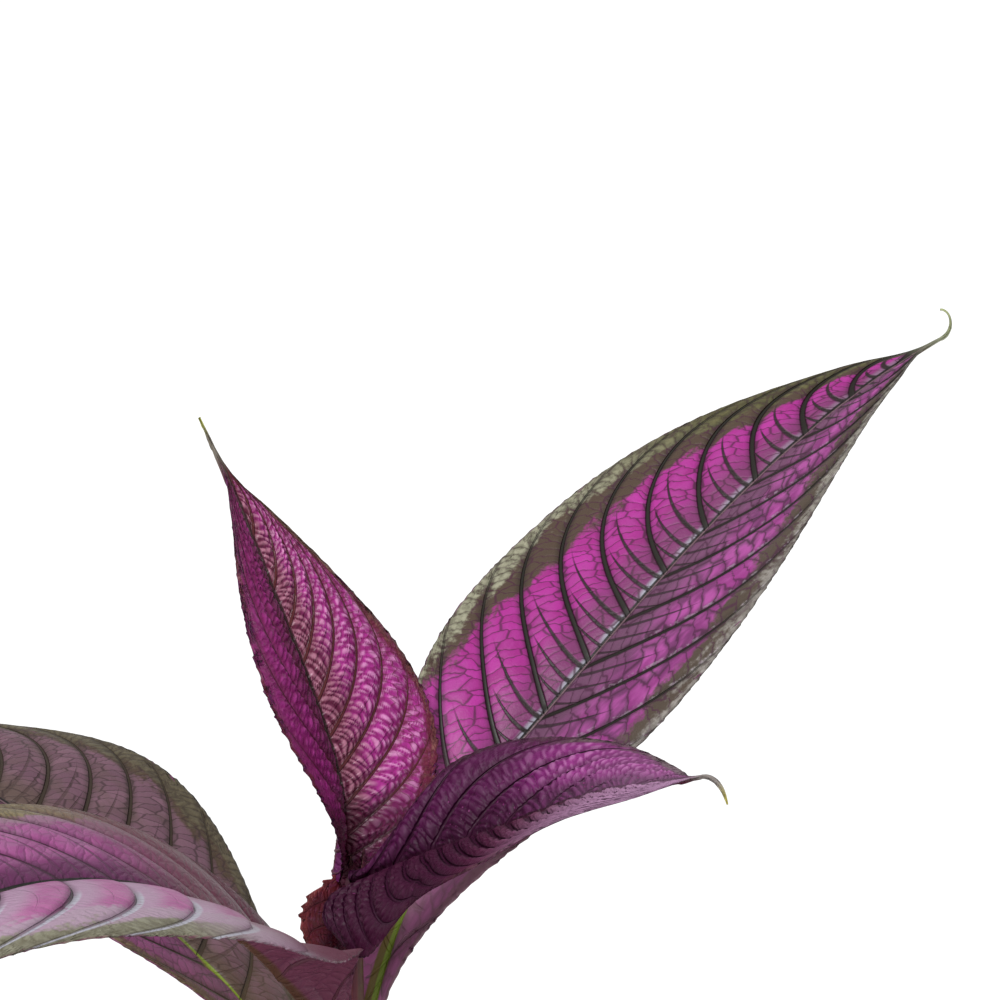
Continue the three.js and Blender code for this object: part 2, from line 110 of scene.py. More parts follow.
# fullness moves the widest place towards the base as it falls. bearing (0 is +X, 90 is +Y), rise
# above the horizontal and twist about the midrib are degrees at even steps from base to tip; so
# are the fold of each half and its curl down to the margin. ear is how far the base stands out.
LEAVES = {
    "leaf_back_right": dict(
        GROWN, node="fourth", base=[2.5, 2], length=191, half_width=31.5, fullness=1.02,
        bearing=[35, 34, 39, 35, 32], rise=[76, 44, 38, 32, 21], twist=[22, 3, 5],
        left=dict(fold=[31, 36, 22, 24, 12], curl=[7, 14, 11], ear=2),
        right=dict(fold=[23, 12, 16, 16, 19], curl=[26, 18, 11], ear=0.5),
        hook=153, hook_length=7, rows=356, columns=104,
    ),
    "leaf_front_left": dict(
        GROWN, node="fourth", base=[-2.4, -2.6], length=191, half_width=31.5, fullness=0.86,
        bearing=[239, 245, 233, 229, 220], rise=[44, 31, 12, -14, -38], twist=[-22, -11, -22],
        left=dict(fold=[79, 8, 12.5, 27, 6], curl=[-16, 23, 64], ear=2.4),
        right=dict(fold=[38, 27, 19, 20, 11], curl=[-6, 28, 12], ear=-0.5),
        ear_sweep=0.4, pairs=[12.2, 12.2], phase=[0.25, 0.3], pucker=[0.7, 0.45],
        slant=[0.5, 1], under=60,
    ),
    "leaf_back_left": dict(
        GROWN, node="third", base=[-2.7, 2], length=180, half_width=30, fullness=1,
        bearing=[142, 143, 140, 143, 148], rise=[52, 32, 20, 10, -3], twist=[9, -4, 4],
        left=dict(fold=[26, 20, 22, 16, 10], curl=[15, 17, 20], ear=1),
        right=dict(fold=[12, 16, 20, 11, 9], curl=[20, 15, 22], ear=2.5), phase=[-0.35, 0.3],
    ),
    "leaf_front_right": dict(
        LOWER, node="third", base=[2.4, -1.9], length=176, half_width=29,
        bearing=[318, 320, 322, 318, 312], rise=[38, 16, -4, -22, -36], twist=[0, 4, 8],
        left=dict(fold=[24, 18, 14, 12, 8], curl=[20, 24, 20], ear=1),
        right=dict(fold=[20, 16, 14, 12, 8], curl=[20, 24, 20], ear=1), rows=300, columns=80,
    ),
    "leaf_young_left": dict(
        YOUNG, node="top", base=[-2.7, 2.2], length=90.5, half_width=24.5, fullness=0.68,
        bearing=[139, 141, 142, 139, 141], rise=[103, 70.5, 62, 61, 57], twist=[-4, 0, 20],
        left=dict(fold=[48, 33, 27, 21, 21], curl=[-1, 17, -1], ear=0),
        right=dict(fold=[42, 16, 18, 19, 1], curl=[-5, 29, 15], ear=-0.5),
        share=[0.86, 1.07], hook=0, pairs=[10.7, 13.2],
    ),
    "leaf_young_right": dict(
        YOUNG, node="top", base=[-0.6, -2.1], length=99, half_width=21, fullness=0.75,
        bearing=[319, 326, 318, 310, 311], rise=[27, 23, 24, 15, 21], twist=[63, 20, 11],
        left=dict(fold=[11, 20, 20, 9, -1], curl=[23, 18, 33], ear=-2.5),
        right=dict(fold=[23, 29, 3, 5, 9], curl=[56, 1, 35], ear=10),
        ear_sweep=0.47, hook=-100, hook_length=9, sweep=0.2, pairs=[10.7, 24],
        pucker=[0.9, 0.65], ripple=0.7, ripple_step=1.5, tail=0.16, tooth=0.5, recurve=0,
    ),
    "leaf_low_right": dict(
        LOWER, node="second", base=[2.1, 2.7], length=150, half_width=27,
        bearing=[52, 54, 50, 46, 44], rise=[42, 24, 4, -20, -38], twist=[0, -4, -8],
        **alike(fold=[22, 16, 14, 12, 8], curl=[20, 26, 24], ear=2),
    ),
    "leaf_low_left": dict(
        LOWER, node="second", base=[-2.1, -2.7], length=146, half_width=26.5,
        bearing=[230, 228, 234, 238, 236], rise=[40, 20, 0, -24, -42], twist=[0, 5, 8],
        **alike(fold=[22, 16, 14, 12, 8], curl=[20, 28, 24], ear=2),
    ),
    "leaf_first_left": dict(
        FIRST, base=[-2.8, 2.4], length=112, half_width=22, bearing=[140, 136, 134, 138, 140],
        rise=[38, 16, -10, -36, -52], twist=[0, 6, 10],
    ),
    "leaf_first_right": dict(
        FIRST, base=[2.8, -2.4], length=118, half_width=23, bearing=[320, 324, 326, 322, 320],
        rise=[38, 18, -6, -32, -50], twist=[0, -6, -10],
    ),
}

# The rounded lobe that grows out of the base of the young left leaf
LOBE = dict(
    YOUNG, node="top", base=[1.4, 2.6, 2.2], length=27, half_width=9.2, fullness=0.9,
    bearing=[186, 226, 290], rise=[-60, -72, -70], twist=[-100, -90, -80],
    left=dict(fold=[-10, -10, -10], curl=[5, 5, 5], ear=-0.6),
    right=dict(fold=[6, 6, 6], curl=[10, 10, 10], ear=0.8), ear_sweep=0, hook=0, rows=110,
    columns=56, under=16, pairs=[6, 6], sweep=0.1, row_ease=1.2, vein_ease=1,
    pucker=[0.15, 0.15], ripple=0.08, ripple_step=1, tooth=1.8, tooth_step=1.8,
    toothed_to=1.1, recurve=0, tail=0.05,
)

# Small leaves folded round the end bud, drawn from the same grid
BUD_LEAF = dict(
    YOUNG, node="top", length=7, half_width=1.7, fullness=0.8, rise=[70, 86, 95], twist=[0, 0],
    **alike(fold=[30, 40, 40], curl=[-20, -20], ear=0), ear_sweep=0, hook=0, rows=40,
    columns=20, under=8, pairs=[5, 5], sweep=0.1, row_ease=1, vein_ease=1,
    pucker=[0.08, 0.08], ripple=0.03, ripple_step=0.8, tooth=0.2, tooth_step=0.9,
    toothed_to=1, recurve=0, groove=0.1,
)
# Where each one starts, in millimetres from the stem's axis, its bearing and its size
BUD_LEAVES = [([-1, -0.6, -1.6], 215, 0.8), ([1.2, 0.6, -1.2], 35, 1),
              ([-0.4, 0.7, 0.4], 125, 0.6), ([0.4, -0.7, 0.4], 305, 0.6)]


# Shape of a leaf

def along(keys, s):
    """Value of evenly spaced keys at s from 0 to 1, on one smooth curve through them."""
    keys = np.asarray(keys, float)
    last = len(keys) - 1
    place = np.clip(s * last, 0, last - 1e-9)
    i = np.floor(place).astype(int)
    f = place - i
    slope_in = (keys[i + 1] - keys[np.maximum(i - 1, 0)]) / 2
    slope_out = (keys[np.minimum(i + 2, last)] - keys[i]) / 2
    return (
        (2 * f**3 - 3 * f**2 + 1) * keys[i] + (f**3 - 2 * f**2 + f) * slope_in
        + (-2 * f**3 + 3 * f**2) * keys[i + 1] + (f**3 - f**2) * slope_out
    )


def midrib_frame(leaf, s):
    """The way the midrib runs at s, the blade's left, its upper side and level left."""
    hook_start = 1 - leaf["hook_length"] / leaf["length"]
    hook = leaf["hook"] * np.clip((s - hook_start) / (1 - hook_start), 0, 1)
    bearing = np.radians(along(leaf["bearing"], s))
    rise = np.radians(along(leaf["rise"], s) + hook)
    twist = np.radians(along(leaf["twist"], s))[..., None]
    run = np.stack(
        [np.cos(rise) * np.cos(bearing), np.cos(rise) * np.sin(bearing), np.sin(rise)], -1
    )
    level = np.stack([-np.sin(bearing), np.cos(bearing), np.zeros_like(bearing)], -1)
    over = np.cross(run, level)
    left = level * np.cos(twist) + over * np.sin(twist)
    up = over * np.cos(twist) - level * np.sin(twist)
    return run, left, up, level


def midrib_points(leaf):
    """Points of the midrib in even steps from base to tip."""
    steps = (np.arange(MIDRIB_STEPS) + 0.5) / MIDRIB_STEPS
    run = midrib_frame(leaf, steps)[0] * leaf["length"] / MIDRIB_STEPS
    x, y, lift = (leaf["base"] + [0])[:3]
    start = [[x, y, NODE_HEIGHTS[leaf["node"]] + lift]]
    return np.vstack([start, run]).cumsum(0)


def on_midrib(points, s):
    places = np.linspace(0, 1, MIDRIB_STEPS + 1)
    return np.stack([np.interp(s, places, points[:, i]) for i in range(3)], -1)


def least_half_width(leaf, s):
    """Half width that is left where the blade runs out, at its base and in its point."""
    scale = min(max(leaf["length"] / 90, 0.5), 1)
    return scale * (STALK_HALF_WIDTH + (POINT_HALF_WIDTH - STALK_HALF_WIDTH) * s)


def by_side(leaf, key, s, is_left):
    """Key values of the half that each point is on."""
    return np.where(is_left, along(leaf["left"][key], s), along(leaf["right"][key], s))


def ear_size(leaf, is_left):
    return np.where(is_left, leaf["left"]["ear"], leaf["right"]["ear"])


def half_width(leaf, s, is_left):
    """Width of one half of the blade at s, with its ear and its drawn-out tip."""
    blade = leaf["half_width"] * np.sin(np.pi * np.clip(s, 0, 1) ** leaf["fullness"]) ** TAPER
    blade = blade * np.where(is_left, *leaf["share"])
    blade = blade * (1 - np.exp(-(((1 - s) / leaf["tail"]) ** 4)))
    ear = ear_size(leaf, is_left) * np.sin(np.pi * (0.25 + 0.75 * np.minimum(1, s / EAR_REACH)))
    point = np.clip((1 - s) / POINT_SHARE, 0.15, 1)
    return np.hypot(blade + ear, least_half_width(leaf, s)) * point


def row_place(leaf, row, t):
    """Side veins run forward as they near the margin, and the rows of the blade follow them."""
    return np.minimum(1, row - 4 * row * (1 - row) * leaf["sweep"] * np.log(1 - VEIN_SWEEP_END * t))


def toothed(leaf, s):
    """How strong the margin's teeth are at s: they fade at the base and towards the tip."""
    return np.clip((leaf["toothed_to"] - s) / 0.3, 0, 1) * np.clip(s / 0.04, 0, 1)


def teeth(leaf, s, is_left):
    """Depth of the margin's teeth, which lean towards the tip."""
    place = s * leaf["length"] / leaf["tooth_step"] + np.where(is_left, 0, 0.4)
    place = place + 0.35 * np.sin(place * 0.71) + 0.2 * np.sin(place * 1.93 + 1)
    lean = place % 1
    size = 0.7 + 0.3 * np.sin(np.floor(place) * 2.4)
    depth = leaf["tooth"] * size * toothed(leaf, s)
    return depth * (np.minimum(lean / 0.75, (1 - lean) / 0.25) - 0.5)


def near_margin(width, t):
    """1 on the margin, and next to nothing a few millimetres inside it."""
    return t ** np.maximum(6, width / 1.3)


def sheet_points(leaf, spine, row, t, is_left):
    """Points of the blade's middle sheet, smooth, without the relief of its veins."""
    side = np.where(is_left, 1.0, -1.0)
    s = row_place(leaf, row, t)
    run, left, up, level = midrib_frame(leaf, s)
    fold = np.radians(by_side(leaf, "fold", s, is_left))
    curl = np.radians(by_side(leaf, "curl", s, is_left))
    curl = np.where(np.abs(curl) < 1e-3, 1e-3, curl)
    width = half_width(leaf, s, is_left)
    width = width + teeth(leaf, s, is_left) * near_margin(width, t)
    out = width * (np.sin(fold) - np.sin(fold - curl * t)) / curl
    lift = width * (np.cos(fold - curl * t) - np.cos(fold)) / curl
    sweep = ear_size(leaf, is_left) * leaf["ear_sweep"] * np.maximum(0, 1 - s / EAR_REACH)
    sweep = sweep * (1 - (1 - t) ** 4)
    return (
        on_midrib(spine, s)
        + left * (side * out)[..., None]
        + up * lift[..., None]
        - run * (sweep * math.cos(EAR_TURN))[..., None]
        + level * (side * sweep * math.sin(EAR_TURN))[..., None]
    )


def vein_place(leaf, row, t, is_left):
    """Counts the side veins up the midrib: a whole number lies on a vein, before its phase."""
    wander = 0.10 * np.sin(11 * row + 1.3) + 0.05 * np.sin(23 * row + 5 * t)
    return np.where(is_left, *leaf["pairs"]) * row ** leaf["vein_ease"] + wander


def panel_place(leaf, row, t, is_left):
    """How far a point is from one side vein to the next, from 0 to 1."""
    return (vein_place(leaf, row, t, is_left) + np.where(is_left, *leaf["phase"])) % 1


def relief(leaf, row, t, is_left, reach, ridge):
    """Height of the pillows between the side veins, the ridges across them and the groove."""
    width = half_width(leaf, row_place(leaf, row, t), is_left)
    slant = np.where(is_left, *leaf["slant"])
    crown = np.sin(np.pi * panel_place(leaf, row, t, is_left) ** slant)
    full = np.minimum(1, width / FULL_RELIEF_WIDTH)
    pillow = np.where(is_left, *leaf["pucker"]) * (2 * crown**0.7 - 1)
    pillow = pillow * np.sin(np.pi * t**0.8) * full
    ridges = leaf["ripple"] * (ridge - 0.5) * np.sin(np.pi * t**0.5) * full
    groove = leaf["groove"] * (1 - 0.7 * row) * np.exp(-((reach / GROOVE_HALF_WIDTH) ** 2))
    return pillow + ridges * np.clip(crown * 2.2, 0, 1) - groove


def ridge_height(leaf, row, t, is_left, run, lean):
    """Height, from 0 to 1, of the small ridges that cross from one side vein to the next. They
    bow forward between the veins, and break up into lumps away from the midrib."""
    place = vein_place(leaf, row, t, is_left)
    forward = panel_place(leaf, row, t, is_left)
    wander = 0.5 * np.sin(2.1 * place) + 0.28 * np.sin(5.3 * place + 1 + 0.6 * run)
    wander = wander + 0.2 * np.sin(9.7 * place + 1.9 * run) - 0.6 * np.sin(np.pi * forward)
    count = (run + forward * lean) / leaf["ripple_step"] + wander
    shift = 0.37 * np.floor(count) + 0.2 * np.sin(7 * place)
    lump = np.abs(np.sin(np.pi * (leaf["knobs"] * forward + shift)))
    broken = 0.2 + 0.5 * np.clip(t / 0.5, 0, 1)
    return np.abs(np.sin(np.pi * count)) ** 0.8 * (1 - broken + broken * lump)


def blade_sides(leaf):
    """Columns round the blade's section, from the left margin over the top and back below it:
    how far each is from the midrib, which half it is on and whether it is below."""
    top = np.linspace(1, -1, leaf["columns"] + 1)
    below = np.linspace(-1, 1, leaf["under"] + 1)[1:]
    below = np.sign(below) * below**2 * (3 - 2 * np.abs(below))
    across = np.concatenate([top, below])
    under = np.concatenate([np.zeros(len(top)), np.ones(len(below))])
    return across, under


def leaf_grid(name, leaf):
    """The grid of one leaf, still flat, with the place of each point along the blade and across
    it, and whether it is below."""
    across, under = blade_sides(leaf)
    rows = leaf["rows"]
    bpy.ops.mesh.primitive_grid_add(x_subdivisions=len(across) - 1, y_subdivisions=rows, size=1)
    piece = bpy.context.object
    piece.name = name
    flat = np.empty(len(piece.data.vertices) * 3)
    piece.data.vertices.foreach_get("co", flat)
    flat = flat.reshape(-1, 3)
    column = np.rint((flat[:, 0] + 0.5) * (len(across) - 1)).astype(int)
    row = np.clip(np.round((flat[:, 1] + 0.5) * rows) / rows, 0, 1) ** leaf["row_ease"]
    return piece, row, across[column], under[column]


def skin_depths(leaf, row, t, is_left, s, width):
    """How far the upper skin is from the middle sheet, and the lower one with its ribs."""
    edge = np.sqrt(np.clip((1 - t) * width / EDGE_ROUND, 0, 1))
    scale = least_half_width(leaf, s) / STALK_HALF_WIDTH
    skin = leaf["thickness"] / 2 * edge * np.clip(0.35 + scale, 0, 1)
    midrib = MIDRIB_DEPTH * scale * np.exp(-((t * width / (MIDRIB_HALF_WIDTH * scale)) ** 2))
    ribs = SIDE_RIB_DEPTH * side_vein_ridge(leaf, row, t, is_left) * edge
    return skin, skin + midrib + ribs


def leaf_piece(name, leaf):
    """One leaf as a shell: a grid that is bent round the blade's section and joined where its
    edges meet, at its left margin, its base and its point. Its mesh keeps what its skin is
    coloured by: blade holds the count of side veins, the place across and the distance from the
    midrib; vein the length along a side vein, the gap between two and how far their places
    shift over it; skin whether it is below, the place along the midrib and the ridges."""
    piece, row, across, below = leaf_grid(name, leaf)
    is_left = across >= 0
    t = np.abs(across)
    s = row_place(leaf, row, t)
    width = half_width(leaf, s, is_left)
    reach = t * width

    spine = midrib_points(leaf)
    back = np.where(row > 0.5, -SLOPE_STEP, SLOPE_STEP)
    inward = np.where(t > 0.5, -SLOPE_STEP, SLOPE_STEP)
    centre = sheet_points(leaf, spine, row, t, is_left)
    by_row = (sheet_points(leaf, spine, row + back, t, is_left) - centre) / back[:, None]
    by_t = (sheet_points(leaf, spine, row, t + inward, is_left) - centre) / inward[:, None]
    turned = np.cross(by_row, by_t * np.where(is_left, 1.0, -1.0)[:, None])
    area = np.linalg.norm(turned, axis=1)
    normal = turned / np.maximum(area, 1e-9)[:, None]
    flank = np.clip(reach / MIDRIB_FLANK, 0, 1)[:, None]
    normal = normal * flank + midrib_frame(leaf, s)[2] * (1 - flank)
    normal = normal / np.linalg.norm(normal, axis=1)[:, None]

    outward = np.maximum(np.linalg.norm(by_t, axis=1), 1e-6)
    count = vein_place(leaf, row, t, is_left)
    count_growth = (vein_place(leaf, row + back, t, is_left) - count) / back
    gap = area / outward / count_growth
    run = vein_run(leaf, row, t, is_left)
    run_growth = (vein_run(leaf, row + back, t, is_left) - run) / back
    lean = ((by_row * by_t).sum(1) / outward - run_growth) / count_growth
    ridge = ridge_height(leaf, row, t, is_left, run, lean)

    turned_down = teeth(leaf, s, is_left) + leaf["tooth"] / 2 * toothed(leaf, s)
    height = relief(leaf, row, t, is_left, reach, ridge)
    height = height - leaf["recurve"] * turned_down * near_margin(width, t)
    upper_depth, lower_depth = skin_depths(leaf, row, t, is_left, s, width)
    height = height + np.where(below > 0, -lower_depth, upper_depth)
    place = centre + normal * height[:, None]
    place[row == 0] = spine[0]
    place[row == 1] = spine[-1]
    piece.data.vertices.foreach_set("co", (place * MM).ravel())

    keep_values(piece.data, "blade", [count, across, reach])
    keep_values(piece.data, "vein", [run, gap, lean])
    keep_values(piece.data, "skin", [below, s, ridge])
    close_shell(piece)
    return piece


def side_vein_ridge(leaf, row, t, is_left):
    """How strongly a side vein stands out below, from 0 between veins to 1 on one."""
    off_vein = np.sin(np.pi * panel_place(leaf, row, t, is_left))
    return np.exp(-((off_vein / 0.16) ** 2)) * (1 - t**3)


def vein_run(leaf, row, t, is_left):
    """Length of the side vein from the midrib out to each point."""
    total = np.zeros_like(row)
    previous_s = row
    previous_out = np.zeros_like(row)
    for i in range(1, VEIN_STEPS + 1):
        share = t * i / VEIN_STEPS
        s = row_place(leaf, row, share)
        out = share * half_width(leaf, s, is_left)
        total = total + np.hypot((s - previous_s) * leaf["length"], out - previous_out)
        previous_s = s
        previous_out = out
    return total


def keep_values(mesh, name, values):
    """Keeps three values for each point on the mesh, for its material to read."""
    attribute = mesh.attributes.new(name, "FLOAT_VECTOR", "POINT")
    attribute.data.foreach_set("vector", np.stack(values, 1).astype(np.float32).ravel())


def smooth(piece, angle=180):
    """Shades the piece smooth where its faces meet at less than the angle."""
    piece.select_set(True)
    if angle < 180:
        bpy.ops.object.shade_smooth_by_angle(angle=math.radians(angle))
    else:
        bpy.ops.object.shade_smooth()
    piece.select_set(False)


def close_shell(piece):
    """Joins the grid where its edges and its poles meet, and has its normals recalculated."""
    bpy.ops.object.mode_set(mode="EDIT")
    bpy.ops.mesh.select_all(action="SELECT")
    bpy.ops.mesh.remove_doubles(threshold=1e-6)
    bpy.ops.mesh.normals_make_consistent(inside=False)
    bpy.ops.object.mode_set(mode="OBJECT")
    smooth(piece)


# Materials

def shader_colour(value):
    """A socket as it is, or a colour as it looks on a screen, 0 to 255, as a shader takes it."""
    if isinstance(value, bpy.types.NodeSocket):
        return value
    shares = [part / 255 for part in value]
    return (*[v / 12.92 if v <= 0.04045 else ((v + 0.055) / 1.055) ** 2.4 for v in shares], 1)


class Wiring:
    """Adds nodes to one node tree and joins them."""

    def __init__(self, tree):
        self.tree = tree

    def node(self, kind, inputs=(), **settings):
        made = self.tree.nodes.new(kind)
        for name, value in settings.items():
            setattr(made, name, value)
        for name, value in dict(inputs).items():
            self.feed(made.inputs[name], value)
        return made

    def feed(self, socket, value):
        if isinstance(value, bpy.types.NodeSocket):
            self.tree.links.new(value, socket)
        else:
            socket.default_value = value

    def math(self, operation, *values):
        return self.node("ShaderNodeMath", enumerate(values), operation=operation).outputs[0]

    def plus(self, first, second):
        return self.math("ADD", first, second)

    def minus(self, first, second):
        return self.math("SUBTRACT", first, second)

    def times(self, first, second):
        return self.math("MULTIPLY", first, second)

    def times_plus(self, first, second, third):
        """The first times the second, plus the third."""
        return self.math("MULTIPLY_ADD", first, second, third)

    def size(self, value):
        """The value without its sign."""
        return self.math("ABSOLUTE", value)

    def ramp(self, value, low, high, start=0.0, end=1.0):
        """Turns smoothly from start to end as value goes from low to high."""
        inputs = {"Value": value, "From Min": low, "From Max": high, "To Min": start, "To Max": end}
        made = self.node("ShaderNodeMapRange", inputs, interpolation_type="SMOOTHSTEP")
        return made.outputs["Result"]

    def mix(self, share, first, second):
        """Goes from the first colour to the second, each a socket or a screen colour."""
        inputs = {0: share, 6: shader_colour(first), 7: shader_colour(second)}
        return self.node("ShaderNodeMix", inputs, data_type="RGBA").outputs[2]

    def vector(self, x, y):
        return self.node("ShaderNodeCombineXYZ", {0: x, 1: y}).outputs[0]

    def parts(self, vector):
        return self.node("ShaderNodeSeparateXYZ", {0: vector}).outputs

    def attribute(self, name):
        """The three values of one of the piece's own attributes."""
        return self.parts(self.node("ShaderNodeAttribute", attribute_name=name).outputs["Vector"])

    def on_piece(self):
        return self.node("ShaderNodeTexCoord").outputs["Object"]

    def group(self, tree, inputs=()):
        return self.node("ShaderNodeGroup", inputs, node_tree=tree).outputs

    def noise(self, vector, scale, detail, roughness=0.5):
        inputs = {"Vector": vector, "Scale": scale, "Detail": detail, "Roughness": roughness}
        return self.node("ShaderNodeTexNoise", inputs).outputs["Fac"]

    def drawn_noise(self, scale, detail):
        """Noise over the piece with its own scale along X, Y and Z."""
        inputs = {"Vector": self.on_piece(), "Scale": scale}
        return self.noise(self.node("ShaderNodeMapping", inputs).outputs[0], 1.0, detail)

    def cells(self, vector, feature):
        inputs = {"Vector": vector, "Scale": 1.0, "Randomness": 0.8}
        return self.node(
            "ShaderNodeTexVoronoi", inputs, voronoi_dimensions="2D", feature=feature
        ).outputs

    def finish(self, shader, skin, roughness, height, depth, strength=1.0):
        """Feeds the shader its colour, its roughness and a bump, depth metres deep."""
        bump = {"Height": height, "Distance": depth, "Strength": strength}
        self.feed(shader.inputs["Base Color"], skin)
        self.feed(shader.inputs["Roughness"], roughness)
        self.feed(shader.inputs["Normal"], self.node("ShaderNodeBump", bump).outputs["Normal"])


def new_group(name, inputs, outputs):
    """A node group with number inputs and their usual values, and number outputs."""
    tree = bpy.data.node_groups.new(name, "ShaderNodeTree")
    for label, value in inputs.items():
        socket = tree.interface.new_socket(label, in_out="INPUT", socket_type="NodeSocketFloat")
        socket.default_value = value
    for label in outputs:
        tree.interface.new_socket(label, in_out="OUTPUT", socket_type="NodeSocketFloat")
    wiring = Wiring(tree)
    given = wiring.node("NodeGroupInput")
    result = wiring.node("NodeGroupOutput")
    return wiring, given.outputs, result.inputs


def new_material(name, **constants):
    """A material with its shader; constants are set on the shader's own sockets."""
    material = bpy.data.materials.new(name)
    material.use_nodes = True
    shader = material.node_tree.nodes["Principled BSDF"]
    for label, value in constants.items():
        shader.inputs[label.replace("_", " ")].default_value = value
    return material, Wiring(material.node_tree), shader


def grain_group():
    """Fine grain and larger mottling over a piece, each from 0 to 1."""
    w, given, result = new_group(
        "grain", {"Grain Scale": 2400.0, "Mottle Scale": 750.0}, ["Grain", "Mottle"]
    )
    on_piece = w.on_piece()
    w.feed(result["Grain"], w.noise(on_piece, given["Grain Scale"], 3.0, 0.6))
    w.feed(result["Mottle"], w.noise(on_piece, given["Mottle Scale"], 4.0, 0.65))
    return w.tree


GRAIN = grain_group()

# Smaller veins between two side veins: where each leaves the midrib, as a share of the way to
# the next side vein, how fast it falls back towards the last one, where it ends and its width
BRANCHES = [(0.9, 0.86, 0.66, 0.5), (0.6, 0.85, 0.46, 0.42), (0.34, 0.85, 0.26, 0.32)]
BRANCH_BEND = 0.7


def branch_lines(w, forward, away, gap):
    """Mask of the smaller veins that leave the midrib between two side veins."""
    branch = 0.0
    bent = w.math("POWER", away, BRANCH_BEND)
    for start, fall, end, wide in BRANCHES:
        off_line = w.times(w.size(w.minus(forward, w.times_plus(bent, -fall, start))), gap)
        taper = w.ramp(away, 0.0, end, wide, 0.08)
        line = w.ramp(off_line, w.times(taper, 0.5), w.times(taper, 1.3), 1.0, 0.0)
        line = w.times(line, w.ramp(away, end * 0.7, end, 1.0, 0.0))
        branch = w.math("MAXIMUM", branch, line)
    return branch


def vein_net_group():
    """Masks of the veins of a blade, read from the places that its mesh carries."""
    w, given, result = new_group(
        "vein_net",
        {"Left Phase": 0.0, "Right Phase": 0.0, "Vein Width": 1.25, "Net Step": 1.9,
         "Right Step": 1.0, "Net Width": 0.05},
        ["Vein", "Branch", "Net", "Cell", "Forward", "Pillow", "Off Vein"],
    )
    count, across, _ = w.attribute("blade")
    run, gap, lean = w.attribute("vein")
    away = w.size(across)
    is_left = w.math("GREATER_THAN", across, 0.0)
    left_more = w.minus(given["Left Phase"], given["Right Phase"])
    place = w.plus(count, w.times_plus(is_left, left_more, given["Right Phase"]))
    forward = w.math("FRACT", place)
    off_vein = w.times(w.math("MINIMUM", forward, w.minus(1.0, forward)), gap)

    swell = w.math("SINE", w.times(math.pi, w.math("POWER", away, 0.5)))
    swell = w.times_plus(swell, 0.34, w.ramp(away, 0.0, 0.24, 0.42, 0.16))
    half = w.times(given["Vein Width"], swell)
    vein = w.ramp(off_vein, w.times(half, 0.65), w.times(half, 1.35), 1.0, 0.0)

    right_step = given["Right Step"]
    step = w.times_plus(is_left, w.minus(1.0, right_step), right_step)
    step = w.times(given["Net Step"], step)
    bow = w.times(w.math("SINE", w.times(forward, math.pi)), 0.5)
    along_vein = w.minus(w.math("DIVIDE", w.times_plus(forward, lean, run), step), bow)
    over_panel = w.math("DIVIDE", w.times(forward, gap), w.times(step, 2.6))
    wavy = w.noise(w.vector(run, w.times(forward, gap)), 0.4, 1.0)
    along_vein = w.times_plus(wavy, 0.7, along_vein)
    spot = w.vector(along_vein, w.times_plus(w.math("FLOOR", place), 7.3, over_panel))
    edges = w.cells(spot, "DISTANCE_TO_EDGE")["Distance"]
    cell = w.node("ShaderNodeSeparateColor", {0: w.cells(spot, "F1")["Color"]}).outputs[0]
    width = w.times(given["Net Width"], w.ramp(off_vein, 0.3, 1.4, 2.2, 1.0))
    width = w.times(width, w.times_plus(wavy, 1.2, 0.4))

    w.feed(result["Vein"], vein)
    w.feed(result["Branch"], branch_lines(w, forward, away, gap))
    w.feed(result["Net"], w.ramp(edges, w.times(width, 0.2), w.times(width, 1.6), 1.0, 0.0))
    w.feed(result["Cell"], cell)
    w.feed(result["Forward"], forward)
    w.feed(result["Pillow"], w.ramp(edges, 0.0, 0.3))
    w.feed(result["Off Vein"], off_vein)
    return w.tree


VEIN_NET = vein_net_group()


# Colours of one half of a blade. panel is its two tones between the veins and dull a third in
# patches; inner is the tone beside the midrib, out to inner_to of the half's width. band and
# rim are the zones along the margin, with the share of the width where each begins near the
# base, further up and near the tip. rim_from is how far up the blade the rim starts and tip_rim
# its tones near the tip. net and branch are the small veins, and net_from is how far out the
# net starts. vein is a side vein and the painted shade in the groove beside it, rib the midrib's
# middle and its flanks, and fade where the side veins grow faint. crest is a painted
# highlight on the small ridges and dip painted shade between them; crest has a
# tone beside the midrib and one further out. pale tints the panels towards the next side vein,
# from pale_from of the way. lump tints the middle of the cells between the small veins. foot is
# how strong the painted silver sheen beside the midrib is. glint is how strong the painted glint
# along the side veins is, glint_at its place between two of them, glint_tone its tone and
# glint_patch how patchy it is, from 0 to 1.
PLAIN_HALF = dict(
    panel=[(136, 26, 114), (160, 36, 136)], dull=(116, 34, 96), inner=(108, 34, 88), inner_to=0.2,
    band=(72, 58, 44), band_at=[0.84, 0.68, 0.6], rim=[(88, 90, 68), (164, 166, 144)],
    rim_at=[0.92, 0.86, 0.62], rim_from=0.0, tip_rim=[(66, 62, 32), (98, 96, 58)],
    net=(66, 18, 50), net_strength=0.7, net_from=0.0, branch=(48, 36, 28), branch_strength=0.95,
    vein=(42, 36, 24), rib=[(110, 84, 92), (26, 20, 20)], rib_width=0.6, fade=[0.8, 1.0],
    crest=[(170, 90, 150), (200, 120, 186)], crest_strength=0.0, dip=(84, 14, 60),
    dip_strength=0.0, pale=(188, 150, 190), pale_strength=0.0, pale_from=0.1,
    lump=(184, 70, 160), lump_strength=0.0, foot=0.0, glint=0.0, glint_at=[0.84, 0.97],
    glint_tone=(196, 180, 196), glint_patch=0.5,
)
